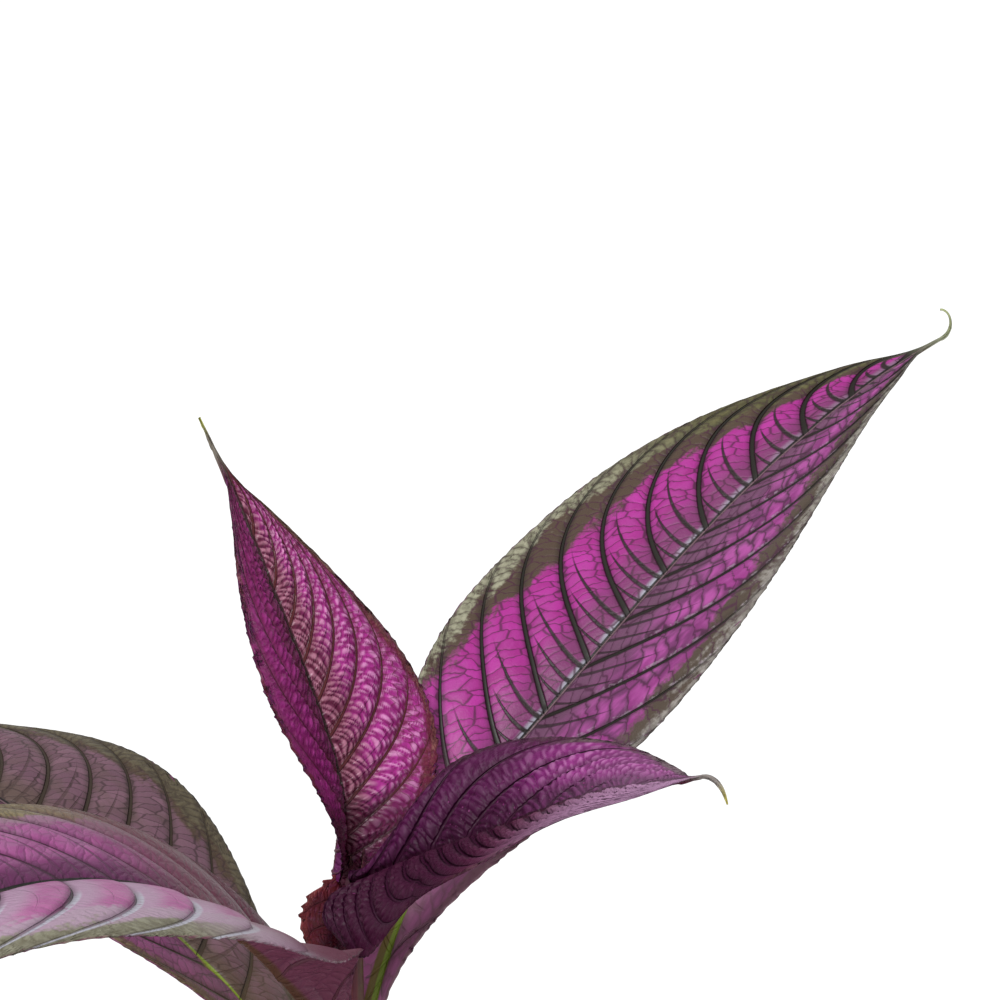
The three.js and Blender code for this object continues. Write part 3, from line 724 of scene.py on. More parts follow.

# Colours of a whole blade: lower is its two tones below and keel its midrib there. gloss,
# roughness and brick, the height of the cells between the small veins, are its finish, and net
# is what its net of veins is given. A look may also have base, a tone of base_strength that
# fades out at base_to, which on the back right leaf is painted light and on the young right leaf
# painted shade; base_rib, the green of a midrib that fades out at base_rib_to; outer_sheen, a
# painted lilac sheen that grows from outer_sheen_from towards the tip; and tip, two tones of the
# thin tip from tip_from on.
PLAIN_LOOK = dict(
    gloss=0.28, roughness=0.36, brick=0.4, net={}, lower=[(104, 38, 88), (128, 56, 108)],
    keel=(96, 66, 50), base_strength=0.8, base_rib_to=0.3,
)
# Tone of the painted silver sheen beside the midrib
MIDRIB_SHEEN_TONE = (166, 172, 182)
BESIDE_RIB_TONE = (116, 100, 52)
LOWER_NET_TONE = (78, 32, 62)
LOWER_VEIN_TONE = (92, 52, 62)


def patches(w, spot, tones):
    """Speckle of two tones along the margin, paler in the cells between the small veins."""
    speckle = w.ramp(spot["mottle"], 0.35, 0.65, 0.0, 0.55)
    return w.mix(w.times_plus(spot["veins"]["Pillow"], 0.45, speckle), *tones)


def zone_start(w, spot, at):
    """Share of the width where a zone along the margin begins, from base to tip."""
    lower = w.ramp(spot["row"], 0.15, 0.55, at[0], at[1])
    return w.plus(lower, w.ramp(spot["row"], 0.6, 0.85, 0.0, at[2] - at[1]))


def panel_colour(w, spot, look):
    """Colour between the veins, with its patches, its pale side and painted light and shade on its
    small ridges.
    """
    away = spot["away"]
    veins = spot["veins"]
    skin = w.mix(veins["Cell"], *look["panel"])
    skin = w.mix(w.ramp(spot["blotch"], 0.4, 0.75, 0.0, 0.6), skin, look["dull"])
    if look["lump_strength"]:
        lump = w.times(w.ramp(spot["blotch"], 0.35, 0.6), look["lump_strength"])
        skin = w.mix(w.times(veins["Pillow"], lump), skin, look["lump"])
    if look["pale_strength"]:
        start = look["pale_from"]
        pale = w.ramp(veins["Forward"], start, start + 0.4, 0.0, look["pale_strength"])
        skin = w.mix(pale, skin, look["pale"])
    inner = w.ramp(away, look["inner_to"] * 0.3, look["inner_to"], 0.9, 0.0)
    skin = w.mix(inner, skin, look["inner"])
    # Painted highlight on the crests of the small ridges
    if look["crest_strength"]:
        crest = w.ramp(spot["ridge"], 0.4, 0.9, 0.0, look["crest_strength"])
        skin = w.mix(crest, skin, w.mix(w.ramp(away, 0.15, 0.5), *look["crest"]))
    # Painted shade in the dips between the ridges, strongest beside the midrib
    if look["dip_strength"]:
        dip = w.ramp(spot["ridge"], 0.0, 0.38, look["dip_strength"], 0.0)
        skin = w.mix(w.times(dip, w.ramp(away, 0.25, 0.8, 1.0, 0.4)), skin, look["dip"])
    return skin


def margin_zones(w, spot, look, skin):
    """Adds the band and the rim along the margin, and says how far past the rim's edge it is."""
    uneven = w.times_plus(spot["blotch"], 0.3, -0.15)
    uneven = w.times_plus(spot["mottle"], 0.16, w.minus(uneven, 0.08))
    edge = w.plus(spot["away"], uneven)
    past_band = w.minus(edge, zone_start(w, spot, look["band_at"]))
    skin = w.mix(w.ramp(past_band, 0.0, 0.08), skin, look["band"])
    past_rim = w.minus(edge, zone_start(w, spot, look["rim_at"]))
    start = look["rim_from"]
    on_rim = w.times(w.ramp(past_rim, 0.0, 0.07), w.ramp(spot["row"], start, start + 0.12))
    near_tip = w.ramp(spot["row"], 0.55, 0.75)
    rim = w.mix(near_tip, patches(w, spot, look["rim"]), patches(w, spot, look["tip_rim"]))
    return w.mix(on_rim, skin, rim), past_rim


def glint_mask(w, spot, look):
    """Painted glint: a patchy silver highlight along one side of the side veins."""
    low, high = look["glint_at"]
    off = w.size(w.minus(spot["veins"]["Forward"], (low + high) / 2))
    glint = w.ramp(off, (high - low) * 0.3, (high - low) * 0.7, look["glint"], 0.0)
    patch = look["glint_patch"]
    glint = w.times(glint, w.ramp(spot["mottle"], patch, patch + 0.12))
    return w.times(w.times(glint, w.ramp(spot["away"], 0.25, 0.45)), w.ramp(spot["row"], 0.28, 0.4))


def half_colour(w, spot, look):
    """Colour of one half of a blade, from its panels and its margin up to its veins."""
    away = spot["away"]
    reach = spot["reach"]
    veins = spot["veins"]
    skin, past_rim = margin_zones(w, spot, look, panel_colour(w, spot, look))
    # Painted silver sheen at the foot of the panels beside the midrib, fading towards the tip
    if look["foot"]:
        foot = w.times(w.ramp(reach, 0.6, 1.7, look["foot"], 0.0), w.ramp(veins["Forward"], 0.1, 0.5))
        skin = w.mix(w.times(foot, w.ramp(spot["row"], 0.5, 0.85, 1.0, 0.3)), skin, MIDRIB_SHEEN_TONE)
    net = w.times(veins["Net"], look["net_strength"])
    if look["net_from"]:
        net = w.times(net, w.ramp(away, look["net_from"], look["net_from"] + 0.25))
    skin = w.mix(w.times(net, w.ramp(past_rim, 0.0, 0.06, 1.0, 0.5)), skin, look["net"])
    # Painted glint along one side of the side veins
    if look["glint"]:
        skin = w.mix(glint_mask(w, spot, look), skin, look["glint_tone"])
    if look["branch_strength"]:
        skin = w.mix(w.times(veins["Branch"], look["branch_strength"]), skin, look["branch"])
    seen = w.ramp(away, *look["fade"], 1.0, 0.3)
    # Painted shade in the grooves beside the side veins, in the vein's tone
    shade = w.times(w.ramp(veins["Off Vein"], 0.3, 1.6, 0.45, 0.0), seen)
    skin = w.mix(shade, skin, look["vein"])
    skin = w.mix(w.times(veins["Vein"], seen), skin, look["vein"])
    wide = look["rib_width"]
    rib = w.mix(w.ramp(reach, wide * 0.2, wide * 0.45), *look["rib"])
    return w.mix(w.ramp(reach, wide * 0.8, wide * 1.1, 1.0, 0.0), skin, rib)


def upper_side(w, spot, look):
    """Colour of the blade from above: its two halves and what changes from base to tip."""
    row = spot["row"]
    reach = spot["reach"]
    left = half_colour(w, spot, dict(PLAIN_HALF, **look["left"]))
    right = half_colour(w, spot, dict(PLAIN_HALF, **look["right"]))
    skin = w.mix(spot["is_left"], right, left)
    # Tone near the stalk: painted light on the back right leaf, painted shade on the young right leaf
    if "base" in look:
        end = look["base_to"]
        skin = w.mix(w.ramp(row, end * 0.6, end, look["base_strength"], 0.0), skin, look["base"])
    if "base_rib" in look:
        end = look["base_rib_to"]
        near_base = w.ramp(row, end * 0.6, end, 1.0, 0.0)
        beside = w.times(w.times(near_base, spot["is_left"]), w.ramp(reach, 1.5, 1.9, 1.0, 0.0))
        skin = w.mix(beside, skin, BESIDE_RIB_TONE)
        stripe = w.times(near_base, w.ramp(reach, 0.45, 0.65, 1.0, 0.0))
        skin = w.mix(stripe, skin, look["base_rib"])
    # Painted lilac sheen that grows towards the tip, a quarter as strong on the left half
    if "outer_sheen" in look:
        outer_sheen = w.ramp(row, look["outer_sheen_from"], look["outer_sheen_from"] + 0.4, 0.0, 0.7)
        outer_sheen = w.times(outer_sheen, w.times_plus(spot["is_left"], -0.75, 1.0))
        skin = w.mix(outer_sheen, skin, look["outer_sheen"])
    return skin


def underside(w, spot, look):
    """Duller colour of the blade from below, with its veins and its midrib."""
    veins = spot["veins"]
    skin = w.mix(spot["blotch"], *look["lower"])
    skin = w.mix(w.times(veins["Net"], 0.35), skin, LOWER_NET_TONE)
    skin = w.mix(w.times(veins["Vein"], 0.8), skin, LOWER_VEIN_TONE)
    return w.mix(w.ramp(spot["reach"], 0.5, 0.9, 1.0, 0.0), skin, look["keel"])


def leaf_material(name, leaf, look):
    """Skin of one leaf: both its sides and its tip, with veins sunk between small cells."""
    look = dict(PLAIN_LOOK, **look)
    material, w, shader = new_material(name, Specular_IOR_Level=look["gloss"])
    phases = {"Left Phase": leaf["phase"][0], "Right Phase": leaf["phase"][1]}
    veins = w.group(VEIN_NET, {**phases, **look["net"]})
    count, across, reach = w.attribute("blade")
    below, row, ridge = w.attribute("skin")
    grain = w.group(GRAIN)
    spot = {
        "veins": veins, "away": w.size(across), "is_left": w.math("GREATER_THAN", across, 0.0),
        "reach": reach, "row": row, "ridge": ridge, "mottle": grain["Mottle"],
        "blotch": w.noise(w.vector(count, w.times(across, 5.0)), 1.5, 3.0),
    }
    skin = w.mix(below, upper_side(w, spot, look), underside(w, spot, look))
    if "tip" in look:
        tip = w.mix(w.ramp(row, 0.95, 1.0), *look["tip"])
        skin = w.mix(w.ramp(row, look["tip_from"], look["tip_from"] + 0.06), skin, tip)
    rough = w.times_plus(grain["Grain"], 0.16, look["roughness"])
    fine = w.times_plus(grain["Grain"], 0.2, w.times(veins["Pillow"], look["brick"]))
    fine = w.times(fine, w.minus(1.0, veins["Vein"]))
    sunk = w.times_plus(veins["Vein"], -0.8, w.times(veins["Branch"], -0.5))
    w.finish(shader, skin, rough, w.plus(fine, sunk), 0.0003)
    return material


# Its base tone is painted light that lifts the base where the young right leaf shades it
BACK_RIGHT_LOOK = dict(
    net={"Vein Width": 0.95, "Net Step": 2.1, "Right Step": 1.5, "Net Width": 0.053}, brick=0.16,
    left=dict(
        panel=[(146, 32, 118), (168, 42, 142)], inner=(110, 46, 92), inner_to=0.4, net=(64, 20, 48),
        net_strength=0.75, rim_from=0.2, rim=[(82, 80, 62), (152, 150, 128)], vein=(24, 20, 13),
        branch=(26, 19, 14), foot=0.85, band=(74, 58, 47), band_at=[0.98, 0.6, 0.46],
        rim_at=[0.94, 0.83, 0.6], tip_rim=[(58, 53, 32), (96, 92, 58)], lump=(180, 62, 156),
        lump_strength=0.4,
    ),
    right=dict(
        panel=[(96, 42, 86), (138, 46, 120)], dull=(90, 62, 82), inner=(98, 66, 88),
        inner_to=0.55, lump=(172, 76, 154), lump_strength=0.8, net=(66, 24, 54), net_strength=0.75,
        vein=(24, 20, 13), branch=(34, 25, 25), branch_strength=0.85, band=(74, 62, 52),
        band_at=[0.8, 0.76, 0.7], rim=[(90, 84, 76), (140, 134, 128)], rim_at=[0.93, 0.9, 0.86],
        tip_rim=[(104, 98, 90), (150, 146, 136)], glint=0.4, glint_at=[0.02, 0.12],
    ),
    base=(206, 150, 176), base_to=0.3, base_strength=0.4, base_rib=(130, 152, 56),
    tip=[(140, 144, 118), (176, 184, 132)], tip_from=0.91,
)
# The left half's glints are painted: pale crescents beside the side veins
FRONT_LEFT_LOOK = dict(
    net={"Vein Width": 0.5},
    left=dict(
        panel=[(154, 86, 134), (166, 98, 144)], dull=(162, 114, 148), inner=(152, 110, 142),
        inner_to=0.08, band=(160, 136, 154), band_at=[0.66, 0.62, 0.6],
        rim=[(100, 96, 78), (132, 130, 112)], rim_at=[0.86, 0.79, 0.76], rim_from=0.42,
        tip_rim=[(100, 96, 78), (132, 130, 112)],
        net_strength=0.05, branch_strength=0.0, vein=(50, 34, 44), pale=(162, 132, 156),
        pale_strength=0.95, pale_from=0.36, fade=[0.3, 0.75], glint=0.9, glint_at=[0.86, 0.99],
        glint_patch=0.34, glint_tone=(176, 176, 188),
    ),
    right=dict(
        panel=[(134, 58, 116), (160, 80, 138)], dull=(148, 98, 136), inner=(84, 30, 72), inner_to=0.3,
        band=(140, 100, 124), band_at=[0.6, 0.55, 0.5], rim=[(84, 72, 36), (128, 114, 82)],
        rim_at=[0.82, 0.66, 0.56], tip_rim=[(84, 74, 36), (118, 106, 70)], net_strength=0.35,
        branch=(80, 34, 68), branch_strength=0.7, vein=(56, 20, 44), rib=[(44, 40, 34), (24, 24, 20)],
    ),
    base=(98, 50, 66), base_to=0.48, base_strength=0.95, lower=[(110, 58, 80), (128, 72, 94)],
)
BACK_LEFT_LOOK = dict(
    net={"Vein Width": 0.75, "Net Width": 0.055}, brick=0.2,
    left=dict(
        panel=[(112, 50, 94), (134, 62, 112)], dull=(104, 56, 86), inner=(98, 48, 80),
        band=(88, 64, 54), band_at=[0.8, 0.76, 0.74], rim=[(84, 70, 52), (112, 96, 72)],
        rim_at=[0.92, 0.9, 0.86], branch_strength=0.5,
    ),
    right=dict(
        panel=[(96, 66, 80), (114, 82, 96)], dull=(84, 66, 62), inner=(84, 68, 60), inner_to=0.3,
        band=(70, 54, 42), band_at=[0.76, 0.74, 0.72], rim=[(60, 52, 38), (94, 86, 66)],
        rim_at=[0.83, 0.81, 0.79], tip_rim=[(64, 56, 38), (102, 92, 66)], net=(46, 30, 32),
        vein=(48, 37, 27), branch=(54, 38, 34), branch_strength=0.5,
    ),
    base=(86, 70, 48), base_to=0.3, base_strength=0.4, base_rib=(112, 130, 36), base_rib_to=0.36,
)
YOUNG_NET = {"Vein Width": 0.5, "Net Step": 1.2, "Net Width": 0.06}
# On the left half the inner tone is painted shadow in the valley beside the midrib; on both halves
# the ridges carry painted highlights and painted shade
YOUNG_LEFT_LOOK = dict(
    net=YOUNG_NET, brick=0.2, gloss=0.32, roughness=0.26,
    left=dict(
        panel=[(120, 14, 90), (142, 26, 112)], dull=(104, 14, 72), inner=(70, 8, 40), inner_to=0.45,
        band=(128, 34, 98), band_at=[0.8, 0.8, 0.8], rim=[(84, 22, 44), (108, 40, 60)],
        rim_at=[0.95, 0.95, 0.95], tip_rim=[(90, 50, 46), (112, 74, 64)], net_strength=0.0,
        vein=(84, 24, 44), branch_strength=0.0, crest=[(150, 60, 124), (184, 64, 158)],
        crest_strength=0.35, dip=(84, 4, 50), dip_strength=0.55, rib=[(92, 82, 74), (56, 16, 28)],
    ),
    right=dict(
        panel=[(150, 30, 118), (176, 48, 146)], dull=(128, 24, 94), inner=(84, 18, 42), inner_to=0.36,
        band=(112, 30, 62), band_at=[0.84, 0.82, 0.68], rim=[(78, 22, 32), (136, 84, 80)],
        rim_at=[0.91, 0.89, 0.7], tip_rim=[(104, 80, 62), (146, 128, 104)], net_strength=0.7,
        net=(92, 20, 44), net_from=0.45, vein=(84, 30, 34), branch_strength=0.0,
        crest=[(192, 128, 152), (230, 160, 210)], crest_strength=0.68, dip=(70, 6, 38),
        dip_strength=0.8, rib=[(92, 82, 74), (56, 16, 28)],
    ),
    base=(70, 10, 38), base_to=0.2, lower=[(88, 18, 78), (110, 32, 98)], keel=(84, 30, 50),
    tip=[(112, 104, 92), (176, 178, 84)], tip_from=0.86,
)
# Its ridges carry painted highlights and painted shade, its base tone is painted shade near the stalk
# and its outer tone a painted lilac sheen towards the tip
YOUNG_RIGHT_LOOK = dict(
    net=dict(YOUNG_NET, **{"Vein Width": 0.75}), brick=0.2, gloss=0.14, roughness=0.38,
    left=dict(
        panel=[(112, 22, 98), (140, 46, 124)], dull=(90, 20, 76), inner=(44, 8, 34), inner_to=0.4,
        band=(92, 50, 76), band_at=[0.88, 0.86, 0.46], rim=[(58, 36, 46), (110, 90, 92)],
        rim_at=[0.95, 0.93, 0.54], tip_rim=[(92, 84, 76), (128, 120, 112)], net_strength=0.0,
        vein=(46, 10, 34), branch_strength=0.0, crest=[(112, 50, 100), (186, 116, 172)],
        crest_strength=0.6, dip=(36, 4, 28), dip_strength=0.9, rib=[(60, 20, 38), (40, 8, 22)],
    ),
    right=dict(
        panel=[(74, 20, 48), (90, 32, 64)], dull=(66, 16, 40), inner=(84, 32, 54), inner_to=0.2,
        band=(88, 38, 60), band_at=[0.9, 0.86, 0.86], rim=[(70, 34, 42), (104, 70, 74)],
        rim_at=[0.95, 0.94, 0.94], tip_rim=[(150, 110, 142), (176, 144, 166)], net_strength=0.0,
        vein=(44, 8, 28), branch_strength=0.0, crest=[(120, 70, 96), (140, 86, 118)],
        crest_strength=0.3, dip=(44, 4, 24), dip_strength=0.5, rib=[(60, 20, 38), (40, 8, 22)],
    ),
    base=(50, 10, 38), base_to=0.54, keel=(84, 30, 50), outer_sheen=(184, 142, 178), outer_sheen_from=0.4,
    tip=[(138, 130, 126), (180, 170, 84)], tip_from=0.86,
)
# Lower leaves carry the painted silver sheen beside the midrib and painted glints along the side
# veins
LOWER_LOOK = dict(
    **alike(foot=0.7, glint=0.5, panel=[(126, 50, 112), (150, 66, 134)], dull=(104, 62, 96)),
    base_rib=(120, 140, 60),
)
LOOKS = {
    "leaf_back_right": BACK_RIGHT_LOOK,
    "leaf_front_left": FRONT_LEFT_LOOK,
    "leaf_back_left": BACK_LEFT_LOOK,
    "leaf_young_left": YOUNG_LEFT_LOOK,
    "leaf_young_right": YOUNG_RIGHT_LOOK,
}
LOBE_LOOK = dict(
    **alike(
        panel=[(84, 22, 32), (112, 36, 42)], dull=(74, 16, 28), inner=(60, 12, 27), inner_to=0.55,
        branch_strength=0.0, band=(124, 52, 56), band_at=[0.8, 0.8, 0.8],
        rim=[(110, 44, 48), (140, 64, 64)], rim_at=[0.9, 0.9, 0.9],
        tip_rim=[(110, 44, 48), (140, 64, 64)], net_strength=0.3, net=(80, 16, 30),
        vein=(84, 22, 34), crest_strength=0.1, dip_strength=0.2, rib=[(84, 22, 34), (84, 22, 34)],
    ),
    net=YOUNG_NET, brick=0.3, lower=[(96, 30, 44), (120, 44, 56)],
)
BUD_LOOK = dict(
    **alike(
        panel=[(96, 20, 62), (124, 34, 84)], dull=(80, 16, 50), inner=(70, 12, 40),
        branch_strength=0.0, band=(104, 34, 60), rim=[(110, 52, 60), (140, 84, 80)],
        tip_rim=[(110, 52, 60), (140, 84, 80)], net_strength=0.0, vein=(60, 10, 34),
        rib=[(96, 60, 60), (60, 16, 34)],
    ),
    net=YOUNG_NET, brick=0.2, lower=[(84, 20, 48), (108, 36, 66)], keel=(72, 18, 42),
)


# Pieces

def dress(piece, node):
    """Puts the piece in the place of its solid: joins it to the root body and hides the solid."""
    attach(piece, "root")
    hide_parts(node)


def cover(piece, material):
    """Gives the piece one material all over."""
    piece.data.materials.clear()
    piece.data.materials.append(material)


def copied(piece):
    """A copy of the piece with its own mesh."""
    copy = piece.copy()
    copy.data = piece.data.copy()
    bpy.context.collection.objects.link(copy)
    return copy


def joined(piece, others):
    """Joins the others into the piece."""
    for part in [piece, *others]:
        part.select_set(True)
    bpy.context.view_layer.objects.active = piece
    bpy.ops.object.join()
    piece.select_set(False)


def shaped(piece, kind, **settings):
    """Adds a modifier to the piece and applies it."""
    bpy.context.view_layer.objects.active = piece
    bpy.ops.object.modifier_add(type=kind)
    modifier = piece.modifiers[-1]
    for name, value in settings.items():
        setattr(modifier, name, value)
    bpy.ops.object.modifier_apply(modifier=modifier.name)


def draw_up(name, sides, profile):
    """A closed round body on the Z axis, extruded ring by ring through a list of radius and
    height, in millimetres."""
    radius, height = profile[0]
    bpy.ops.mesh.primitive_circle_add(vertices=sides, radius=radius * MM, fill_type="NGON")
    piece = bpy.context.object
    piece.name = name
    bpy.ops.object.mode_set(mode="EDIT")
    bpy.ops.mesh.select_all(action="SELECT")
    bpy.ops.transform.translate(value=(0, 0, height * MM))
    for next_radius, next_height in profile[1:]:
        rise = (0, 0, (next_height - height) * MM)
        bpy.ops.mesh.extrude_region_move(TRANSFORM_OT_translate={"value": rise})
        grow = next_radius / radius
        bpy.ops.transform.resize(value=(grow, grow, 1), center_override=(0, 0, 0))
        radius, height = next_radius, next_height
    bpy.ops.mesh.select_all(action="SELECT")
    bpy.ops.mesh.normals_make_consistent(inside=False)
    bpy.ops.object.mode_set(mode="OBJECT")
    piece.select_set(False)
    return piece


# Pot: a tapered tub with a band at its rim and drain holes in its floor, in millimetres. Soil
# has dried on it up to DUST_HEIGHT, and its rim and its band's foot are worn.
POT_HEIGHT = 115
POT_BASE_RADIUS = 46
POT_NECK_RADIUS = 62.4
POT_RIM_RADIUS = 65
POT_WALL = 2
POT_BAND_FOOT = 101
POT_BAND_STEP = 1.8
POT_EDGE = 1.2
POT_ROUNDING = 0.7
POT_SIDES = 128
DRAIN_HOLES = 8
DRAIN_RADIUS = 4
DRAIN_CIRCLE = 36
DRAIN_SIDES = 24
DUST_HEIGHT = 30
RIM_WEAR = 1.5
BAND_WEAR = 0.8


def pot_outside(height):
    return POT_BASE_RADIUS + (POT_NECK_RADIUS - POT_BASE_RADIUS) * height / POT_HEIGHT


def pot_inside(height):
    return pot_outside(height) - POT_WALL


def pot_tub():
    """The tub with its band and its drain holes, its edges slightly rounded."""
    neck = pot_outside(POT_BAND_FOOT)
    tub = draw_up("pot_tub", POT_SIDES, [
        (POT_BASE_RADIUS, 0), (neck, POT_BAND_FOOT),
        (neck + POT_BAND_STEP, POT_BAND_FOOT + POT_EDGE), (POT_RIM_RADIUS, POT_HEIGHT),
        (pot_inside(POT_HEIGHT), POT_HEIGHT), (pot_inside(POT_WALL), POT_WALL),
    ])
    bpy.ops.mesh.primitive_cylinder_add(
        vertices=DRAIN_SIDES, radius=DRAIN_RADIUS * MM, depth=3 * POT_WALL * MM
    )
    first = bpy.context.object
    first.select_set(False)
    holes = [first] + [copied(first) for _ in range(DRAIN_HOLES - 1)]
    for i, hole in enumerate(holes):
        angle = 2 * math.pi * (i + 0.5) / DRAIN_HOLES
        x, y = DRAIN_CIRCLE * math.cos(angle), DRAIN_CIRCLE * math.sin(angle)
        hole.location = (x * MM, y * MM, POT_WALL / 2 * MM)
    joined(first, holes[1:])
    shaped(tub, "BOOLEAN", operation="DIFFERENCE", solver="EXACT", object=first)
    bpy.data.objects.remove(first)
    shaped(tub, "BEVEL", width=POT_ROUNDING * MM, segments=3, limit_method="ANGLE",
           angle_limit=math.radians(40))
    smooth(tub, 35)
    return tub


def plastic_material():
    """Charcoal nursery pot plastic: flow streaks, scuffs, a worn rim and dried soil at the foot."""
    material, w, shader = new_material("charcoal_plastic", Specular_IOR_Level=0.42)
    height = w.parts(w.on_piece())[2]
    grain = w.group(GRAIN, {"Grain Scale": 2000.0, "Mottle Scale": 140.0})
    mottle = grain["Mottle"]
    flow = w.ramp(w.drawn_noise((260, 260, 18), 3.0), 0.35, 0.65)
    skin = w.mix(flow, (36, 37, 39), (44, 45, 47))
    scuff = w.times(w.ramp(w.drawn_noise((60, 60, 900), 2.0), 0.66, 0.72), w.ramp(mottle, 0.5, 0.6))
    skin = w.mix(w.times(scuff, 0.5), skin, (92, 92, 92))
    dust = w.times(w.ramp(height, MM, DUST_HEIGHT * MM, 0.6, 0.0), w.ramp(mottle, 0.3, 0.7))
    skin = w.mix(dust, skin, (108, 92, 74))
    rim_wear = w.ramp(height, (POT_HEIGHT - RIM_WEAR) * MM, POT_HEIGHT * MM)
    off_band = w.size(w.minus(height, (POT_BAND_FOOT + POT_EDGE) * MM))
    worn = w.math("MAXIMUM", rim_wear, w.ramp(off_band, 0.0, BAND_WEAR * MM, 0.6, 0.0))
    skin = w.mix(w.times(worn, w.ramp(mottle, 0.45, 0.6, 0.1, 0.6)), skin, (100, 100, 100))
    rough = w.times_plus(dust, 0.3, w.times_plus(grain["Grain"], 0.2, 0.4))
    w.finish(shader, skin, rough, grain["Grain"], 0.0002, 0.5)
    return material


# Soil, in millimetres: its waves are a height and the turn for each millimetre along X and Y
SOIL_TOP = 103
SOIL_EDGE_DROP = 3
SOIL_GAP = 0.3
SOIL_SIDES = 192
SOIL_RINGS = 48
SOIL_WAVES = [(0.8, 0.19, 0.21), (0.5, 0.34, -0.27), (0.8, -0.08, 0.06)]
SOIL_MOUND = 1.6
SOIL_MOUND_RADIUS = 10
SOIL_LUMPS = [("clods", 11, 3.4), ("lumps", 3.2, 1.8)]
BARE_ROUND_STEM = 5
BARE_AT_EDGE = 3


def soil_edge(height):
    """Radius of the soil, just inside the flat stretches of the solid pot's wall."""
    return pot_inside(height) * math.cos(math.pi / 64) - SOIL_GAP


def soil_bed():
    """Potting mix with clods and fine lumps, and a low mound round the stem."""
    edge = soil_edge(SOIL_TOP - 2 * SOIL_EDGE_DROP)
    foot = POT_WALL + SOIL_GAP
    profile = [(soil_edge(foot), foot), (edge, SOIL_TOP - 2 * SOIL_EDGE_DROP)]
    for i in range(SOIL_RINGS):
        share = 1 - i / SOIL_RINGS
        profile.append((edge * share, SOIL_TOP - SOIL_EDGE_DROP * share**6))
    soil = draw_up("soil_bed", SOIL_SIDES, profile)
    on_top = []
    for vertex in soil.data.vertices:
        if vertex.co.z > (SOIL_TOP - SOIL_EDGE_DROP - 0.5) * MM:
            x, y = vertex.co.x / MM, vertex.co.y / MM
            lift = sum(size * math.sin(per_x * x + per_y * y) for size, per_x, per_y in SOIL_WAVES)
            mound = SOIL_MOUND * math.exp(-(math.hypot(x, y) / SOIL_MOUND_RADIUS) ** 2)
            vertex.co.z += (lift + mound) * MM
            on_top.append(vertex.index)
    soil.vertex_groups.new(name="top").add(on_top, 1.0, "REPLACE")
    for name, size, strength in SOIL_LUMPS:
        noise = bpy.data.textures.new(name, "CLOUDS")
        noise.noise_scale = size * MM
        noise.noise_depth = 2
        shaped(soil, "DISPLACE", texture=noise, strength=strength * MM, direction="Z",
               vertex_group="top")
    soil.vertex_groups.clear()
    smooth(soil)
    return soil


def crumb_shape(seed, subdivisions, roughness):
    """An uneven crumb, a millimetre in radius."""
    bpy.ops.mesh.primitive_ico_sphere_add(subdivisions=subdivisions, radius=MM)
    bpy.ops.object.mode_set(mode="EDIT")
    bpy.ops.transform.vertex_random(offset=roughness * MM, seed=seed)
    bpy.ops.object.mode_set(mode="OBJECT")
    bpy.context.object.select_set(False)
    return bpy.context.object


def chip_shape(seed):
    """A flat splinter of bark, two millimetres long."""
    bpy.ops.mesh.primitive_cube_add(size=2 * MM)
    bpy.ops.object.mode_set(mode="EDIT")
    bpy.ops.mesh.subdivide(number_cuts=1)
    bpy.ops.transform.resize(value=(1, 0.45, 0.2))
    bpy.ops.transform.vertex_random(offset=0.16 * MM, seed=seed)
    bpy.ops.object.mode_set(mode="OBJECT")
    bpy.context.object.select_set(False)
    return bpy.context.object


def strew(soil, shapes, count, sizes, draws):
    """Copies of the shapes over the soil, turned and sized by chance and a little sunk in."""
    lowest = (SOIL_TOP - SOIL_EDGE_DROP - 2) * MM
    tops = np.array([vertex.co for vertex in soil.data.vertices if vertex.co.z > lowest])
    reach = soil_edge(SOIL_TOP) - BARE_AT_EDGE - BARE_ROUND_STEM
    copies = []
    for _ in range(count):
        piece = copied(draws.choice(shapes))
        size = sizes[0] + (sizes[1] - sizes[0]) * draws.random() ** 2
        away = BARE_ROUND_STEM + (reach - size) * math.sqrt(draws.random())
        angle = draws.uniform(0, 2 * math.pi)
        x, y = away * math.cos(angle) * MM, away * math.sin(angle) * MM
        nearest = tops[np.argmin((tops[:, 0] - x) ** 2 + (tops[:, 1] - y) ** 2)]
        piece.location = (x, y, nearest[2] + 0.15 * size * MM)
        tilt = draws.uniform(-0.5, 0.5), draws.uniform(-0.5, 0.5)
        piece.rotation_euler = (*tilt, draws.uniform(0, 6.28))
        piece.scale = (size, size, size)
        copies.append(piece)
    return copies


def mix_material(name, dark, light, mottle_scale, depth, rough):
    """Potting mix: two tones in patches with a rough, grainy skin."""
    material, w, shader = new_material(name, Specular_IOR_Level=0.2)
    grain = w.group(GRAIN, {"Grain Scale": 1600.0, "Mottle Scale": mottle_scale})
    skin = w.mix(w.ramp(grain["Mottle"], 0.36, 0.64), dark, light)
    skin = w.mix(w.ramp(grain["Grain"], 0.5, 0.66, 0.0, 0.5), skin, [1.35 * v for v in light])
    rough = w.times_plus(grain["Grain"], 0.2, rough)
    w.finish(shader, skin, rough, w.times_plus(grain["Grain"], 0.6, grain["Mottle"]), depth)
    return material


# Stem, in millimetres: its thickness and its swellings follow the solid's
STEM_FOOT = 62
STEM_FOOT_RADIUS = 3
STEM_TOP_RADIUS = 1.3
STEM_SQUARENESS = 0.07
STEM_RING_STEP = 1.2
STEM_SIDES = 28
BUD_HEIGHT = 3
BUD_OUTLINE = [(1.9, 0.35), (1.3, 0.75), (0.4, 1)]
STEM_GREEN_END = 115
STEM_MAROON_START = 200


